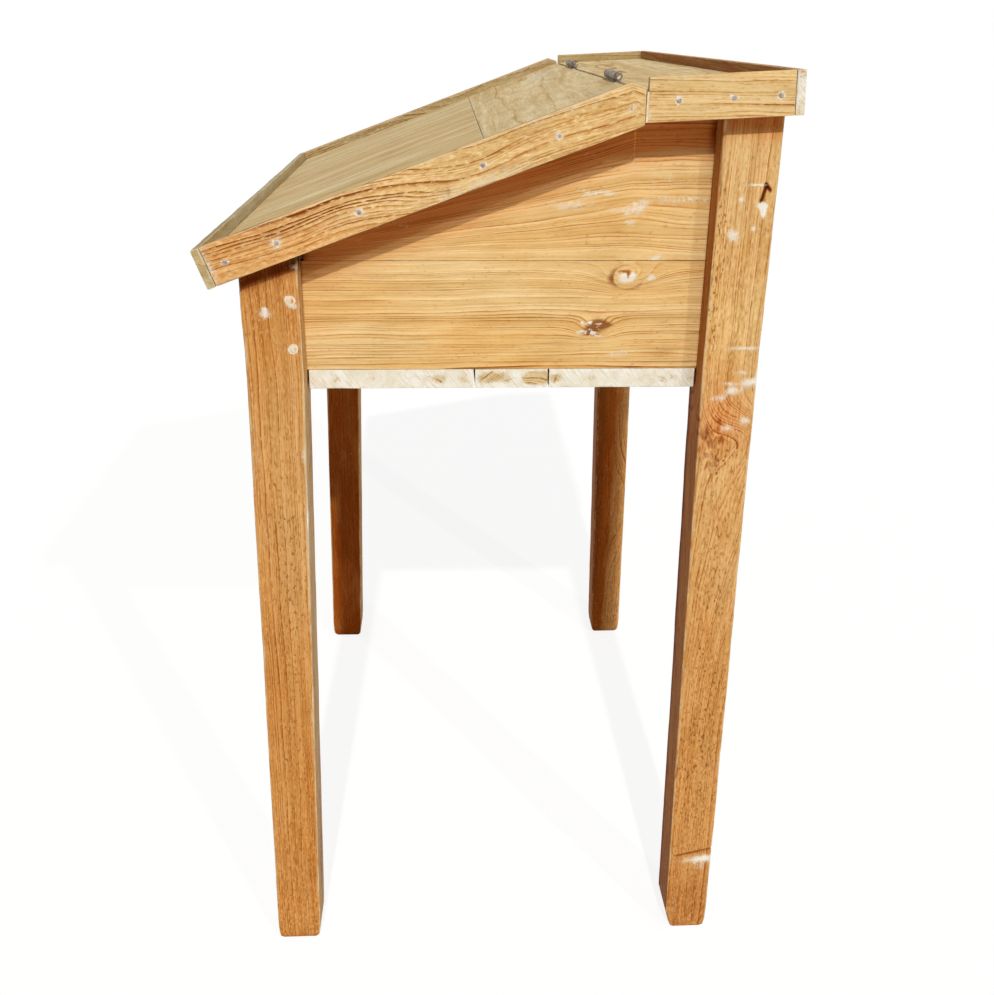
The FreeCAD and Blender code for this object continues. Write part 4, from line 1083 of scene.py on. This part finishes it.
def turned(profile, closed, centres, axis, sign, seed, core=0.0, wobble=0.0, lift=0.0, sides=40):
    """Round pieces: a profile of radius and height is carried round an axis through each centre. Beyond the
    core radius it swells and shrinks by a few waves round the circle, and lifts where it swells. A closed
    profile makes a ring; an open one is capped at both ends."""
    random = np.random.default_rng(seed)
    turn = np.linspace(0, 2 * math.pi, sides, endpoint=False)
    waves = np.array((2, 3, 5, 8))[:, None]
    phase = random.uniform(0, 2 * math.pi, (len(centres), len(waves), 1))
    swell = 1 + wobble * (np.cos(waves * turn + phase) / np.sqrt(waves)).sum(1)
    reach, height = (row[None, :, None] for row in profile.T)
    radius = np.where(reach > core, core + (reach - core) * swell[:, None], reach)
    first, second = sorted({0, 1, 2} - {axis})
    points = np.empty((*radius.shape, 3))
    points[..., first] = radius * np.cos(turn)
    points[..., second] = radius * np.sin(turn)
    points[..., axis] = sign * (height + lift * (swell[:, None] - 1))
    points += centres[:, None, None]
    number = np.arange(points[..., 0].size).reshape(radius.shape)
    rows = np.concatenate((number, number[:, :1]), 1) if closed else number
    rows = np.concatenate((rows, rows[..., :1]), 2)
    faces = quads_of(rows).tolist()
    if not closed:
        faces += number[:, 0].tolist() + number[:, -1, ::-1].tolist()
    mirrored = (sign < 0) != (axis == 1)
    return points.reshape(-1, 3), [face[::-1] for face in faces] if mirrored else faces


NAIL = np.array(((1.4, -0.12), (2.0, -0.2), (2.3, -0.45), (2.3, -1.2), (1.2, -1.7), (1.2, -30.5), (0.4, -32)))
PEG = np.array(((2.2, 0.35), (3.1, 0.2), (3.4, -0.3), (3.4, -24)))
RING_THICK, RING_POINTS, RING_FLAT = 0.9, 16, 0.6


def filler_ring(inner, outer, top):
    """Section of a ring of stopping: a flat oval between two radii, its crest at that height."""
    turn = np.linspace(0, -2 * math.pi, RING_POINTS, endpoint=False)
    rise = np.sign(np.sin(turn)) * abs(np.sin(turn)) ** RING_FLAT
    radius = (inner + outer) / 2 + (outer - inner) / 2 * np.cos(turn)
    return np.column_stack((radius, top + RING_THICK / 2 * (rise - 1)))


NAIL_RING = filler_ring(1.7, 3.8, -0.26)
PEG_RING = filler_ring(3.0, 4.7, -0.35)
PEG_SUNK = 0.6
JOINT_INSET, JOINT_RISE, JOINT_RUN = 0.25, (0.5, 24), (-0.55, 1.4)


class DESK_OT_fastenings(bpy.types.Operator):
    """Nails, pegs and the stopping round them, and finishes for hinges and screws"""

    bl_idname = "desk.fastenings"
    bl_label = "Fastenings"

    def execute(self, context):
        for name, node in frame["nodes"].items():
            if name.startswith("hinge_") or name.endswith(("_nails", "_screws")):
                node.data.materials.clear()
                node.data.materials.append(finish_of("iron" if name.startswith("hinge_") else "steel"))
        self.drive_nails("lid_edging_nails", "lid", "lid", -1, 81)
        self.drive_nails("shelf_edging_nails", "shelf", "case", 1, 91)
        self.drive_pegs()
        self.fill_joint()
        return {"FINISHED"}

    def fill_joint(self):
        """Stopping on the front ends of the shelf's edging, below the hinge line: thin worn strips."""
        for side, _ in SIDES:
            low, high = (np.array(corner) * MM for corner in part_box(f"shelf_edging_{side}"))
            across = (low[0] + JOINT_INSET, high[0] - JOINT_INSET)
            sections = np.array([[[(x, HINGE_Y + run, low[2] + rise) for run in JOINT_RUN] for x in across]
                                 for rise in JOINT_RISE])
            points, quads, _ = worn_block(sections, timber(round=0.4, step=0.6), {}, 99)
            make_object(f"stopping_joint_{side}", points, quads.tolist(), {}, finish_of("filler"), "case",
                        "pine_painted")

    def drive_nails(self, name, bed, body, end, seed):
        """Nails through the side edging and the end edging of a bed, with stopping round each head."""
        points = node_points(name, bed)
        rows = [(heads(points, axis, sign), axis, sign) for axis, sign in ((0, -1), (0, 1), (1, end))]
        self.join(f"driven_{name}", bed, body, "steel_nail", "steel", (name,), [
            turned(NAIL, False, *row, seed + k) for k, row in enumerate(rows)])
        self.join(f"stopping_{name}", bed, body, "pine_painted", "filler", (), [
            turned(NAIL_RING, True, *row, seed + k, core=2.1, wobble=0.3, lift=0.38)
            for k, row in enumerate(rows)])

    def drive_pegs(self):
        """Pegs through the legs, their ends worn round, with stopping round those in the front legs."""
        points = node_points("leg_pegs")
        rows = [(heads(points, 0, sign), 0, sign) for sign in (-1, 1)]
        self.join("worn_leg_pegs", "case", "case", "wood_peg", "peg", ("leg_pegs",), [
            turned(PEG - (0, PEG_SUNK), False, *row, 95) for row in rows])
        stopped = [(centres[centres[:, 1] < 0], *side) for centres, *side in rows]
        self.join("stopping_leg_pegs", "case", "case", "pine_painted", "filler", (), [
            turned(PEG_RING, True, *row, 97, core=3.2, wobble=0.2) for row in stopped])

    def join(self, name, bed, body, slot, finish, nodes, parts):
        """One object from several sets of points and faces."""
        starts = np.cumsum([0] + [len(points) for points, _ in parts]).tolist()
        faces = [[k + start for k in face] for start, (_, rows) in zip(starts, parts) for face in rows]
        points = lay(np.concatenate([points for points, _ in parts]), bed)
        make_object(name, points, faces, {}, finish_of(finish), body, slot, *nodes)


CAMERA_PLACE = (1.2841, -0.03994, 0.945)
CAMERA_YAW, CAMERA_PITCH, CAMERA_ROLL = 0.050, 0.409, 0.010
FOCAL_PIXELS, PICTURE_LONG, SENSOR = 1082.5, 995, 36.0
KEY_RISE, SECOND_RISE, LAMP_SPREAD = math.radians(36), math.radians(34), math.radians(1.0)
SECOND_TURN = math.radians(30)
FLOOR_SHARE, FLOOR_HALF = 0.2, 30.0


class DESK_OT_stage(bpy.types.Operator):
    """Pale floor, lamps and camera"""

    bl_idname = "desk.stage"
    bl_label = "Stage"

    def execute(self, context):
        scene = context.scene
        settings = scene.desk_stage
        scene.view_settings.view_transform = "Standard"
        self.light_world(scene, settings.sky)
        self.hang_lamp(scene, "key_lamp", KEY_RISE, 0.0, settings.key)
        self.hang_lamp(scene, "second_lamp", SECOND_RISE, SECOND_TURN, settings.second)
        lamps = settings.key * math.sin(KEY_RISE) + settings.second * math.sin(SECOND_RISE)
        self.lay_floor(scene, settings.floor, lamps / math.pi + settings.sky)
        self.set_camera(scene)
        return {"FINISHED"}

    def seen(self, put):
        """1 for rays that show a surface to the camera, directly or through gloss and glass."""
        kinds = ("Camera", "Glossy", "Transmission")
        camera, glossy, through = (put("LightPath", out=f"Is {kind} Ray") for kind in kinds)
        either = put("Math", [camera, glossy], operation="MAXIMUM")
        return put("Math", [either, through], operation="MAXIMUM")

    def light_world(self, scene, strength):
        """Even light of that strength, white where the camera sees it."""
        scene.world = bpy.data.worlds.new("even_light")
        scene.world.use_nodes = True
        scene.world.node_tree.nodes.clear()
        put = partial(add, scene.world.node_tree)
        light = put("MapRange", {"Value": self.seen(put), "To Min": strength})
        put("OutputWorld", {"Surface": put("Background", {"Color": (1, 1, 1, 1), "Strength": light})})

    def lay_floor(self, scene, shade, light):
        """A floor whose lit part the camera sees as white, so that only the desk's shadow darkens it."""
        mesh = bpy.data.meshes.new("pale_floor")
        corners = [(x * FLOOR_HALF, y * FLOOR_HALF, 0) for x, y in ((-1, -1), (1, -1), (1, 1), (-1, 1))]
        mesh.from_pydata(corners, (), [(0, 1, 2, 3)])
        material, put = new_material("floor_matt_pale")
        glow = (1 - FLOOR_SHARE * light * min(shade)) / (1 - FLOOR_SHARE)
        matt = put("BsdfDiffuse", {"Color": (*shade, 1)})
        white = put("Emission", {"Color": (1, 1, 1, 1), "Strength": glow})
        share = put("Math", [self.seen(put), 1 - FLOOR_SHARE], operation="MULTIPLY")
        put("OutputMaterial", {"Surface": put("MixShader", [share, matt, white])})
        mesh.materials.append(material)
        floor = bpy.data.objects.new("pale_floor", mesh)
        scene.collection.objects.link(floor)

    def hang_lamp(self, scene, name, rise, turn, strength):
        """A distant lamp off the desk's right-hand end, raised from the floor and turned towards the back."""
        lamp = bpy.data.lights.new(name, "SUN")
        lamp.angle = LAMP_SPREAD
        lamp.energy = strength
        holder = bpy.data.objects.new(name, lamp)
        axes = ((0, -math.sin(rise), math.cos(rise)), (1, 0, 0), (0, math.cos(rise), math.sin(rise)))
        holder.matrix_world = (Matrix.Rotation(turn, 3, "Z") @ Matrix(axes)).to_4x4()
        scene.collection.objects.link(holder)

    def set_camera(self, scene):
        """The camera's axes from its yaw, pitch and roll, and its lens from the focal length in pixels."""
        yaw, pitch, roll = CAMERA_YAW, CAMERA_PITCH, CAMERA_ROLL
        level_run = math.cos(pitch)
        ahead = np.array((-level_run * math.cos(yaw), level_run * math.sin(yaw), -math.sin(pitch)))
        right = np.cross(ahead, (0, 0, 1))
        right /= np.linalg.norm(right)
        up = np.cross(right, ahead)
        tilted = math.cos(roll) * right + math.sin(roll) * up
        upright = math.cos(roll) * up - math.sin(roll) * right
        data = bpy.data.cameras.new("photo_view")
        data.sensor_width = SENSOR
        data.lens = FOCAL_PIXELS * SENSOR / PICTURE_LONG
        camera = bpy.data.objects.new("photo_view", data)
        axes = Matrix(np.column_stack((tilted, upright, -ahead)).tolist()).to_4x4()
        camera.matrix_world = Matrix.Translation(CAMERA_PLACE) @ axes
        scene.collection.objects.link(camera)
        scene.camera = camera


OPERATORS = (DESK_OT_legs, DESK_OT_side_panels, DESK_OT_cross_boards, DESK_OT_floor_boards, DESK_OT_shelf,
             DESK_OT_lid, DESK_OT_fastenings, DESK_OT_stage)
SETTINGS = {"desk_shape": DeskShape, "desk_pine": DeskPine, "desk_metal": DeskMetal, "desk_stage": DeskStage}


class DESK_PT_panel(bpy.types.Panel):
    """Lists the desk's settings and what makes each piece"""

    bl_label = "School desk"
    bl_idname = "DESK_PT_panel"
    bl_space_type = "VIEW_3D"
    bl_region_type = "UI"
    bl_category = "Desk"

    def draw(self, context):
        for label in SETTINGS:
            settings = getattr(context.scene, label)
            for key in settings.__annotations__:
                self.layout.prop(settings, key)
        for operator in OPERATORS:
            self.layout.operator(operator.bl_idname)


def register():
    for kind in (*SETTINGS.values(), *OPERATORS, DESK_PT_panel):
        bpy.utils.register_class(kind)
    for label, kind in SETTINGS.items():
        setattr(bpy.types.Scene, label, PointerProperty(type=kind))


def unregister():
    for label in SETTINGS:
        delattr(bpy.types.Scene, label)
    for kind in reversed((*SETTINGS.values(), *OPERATORS, DESK_PT_panel)):
        bpy.utils.unregister_class(kind)


def main():
    register()
    for operator in OPERATORS:
        group, name = operator.bl_idname.split(".")
        getattr(getattr(bpy.ops, group), name)()


if __name__ == "__main__":
    main()
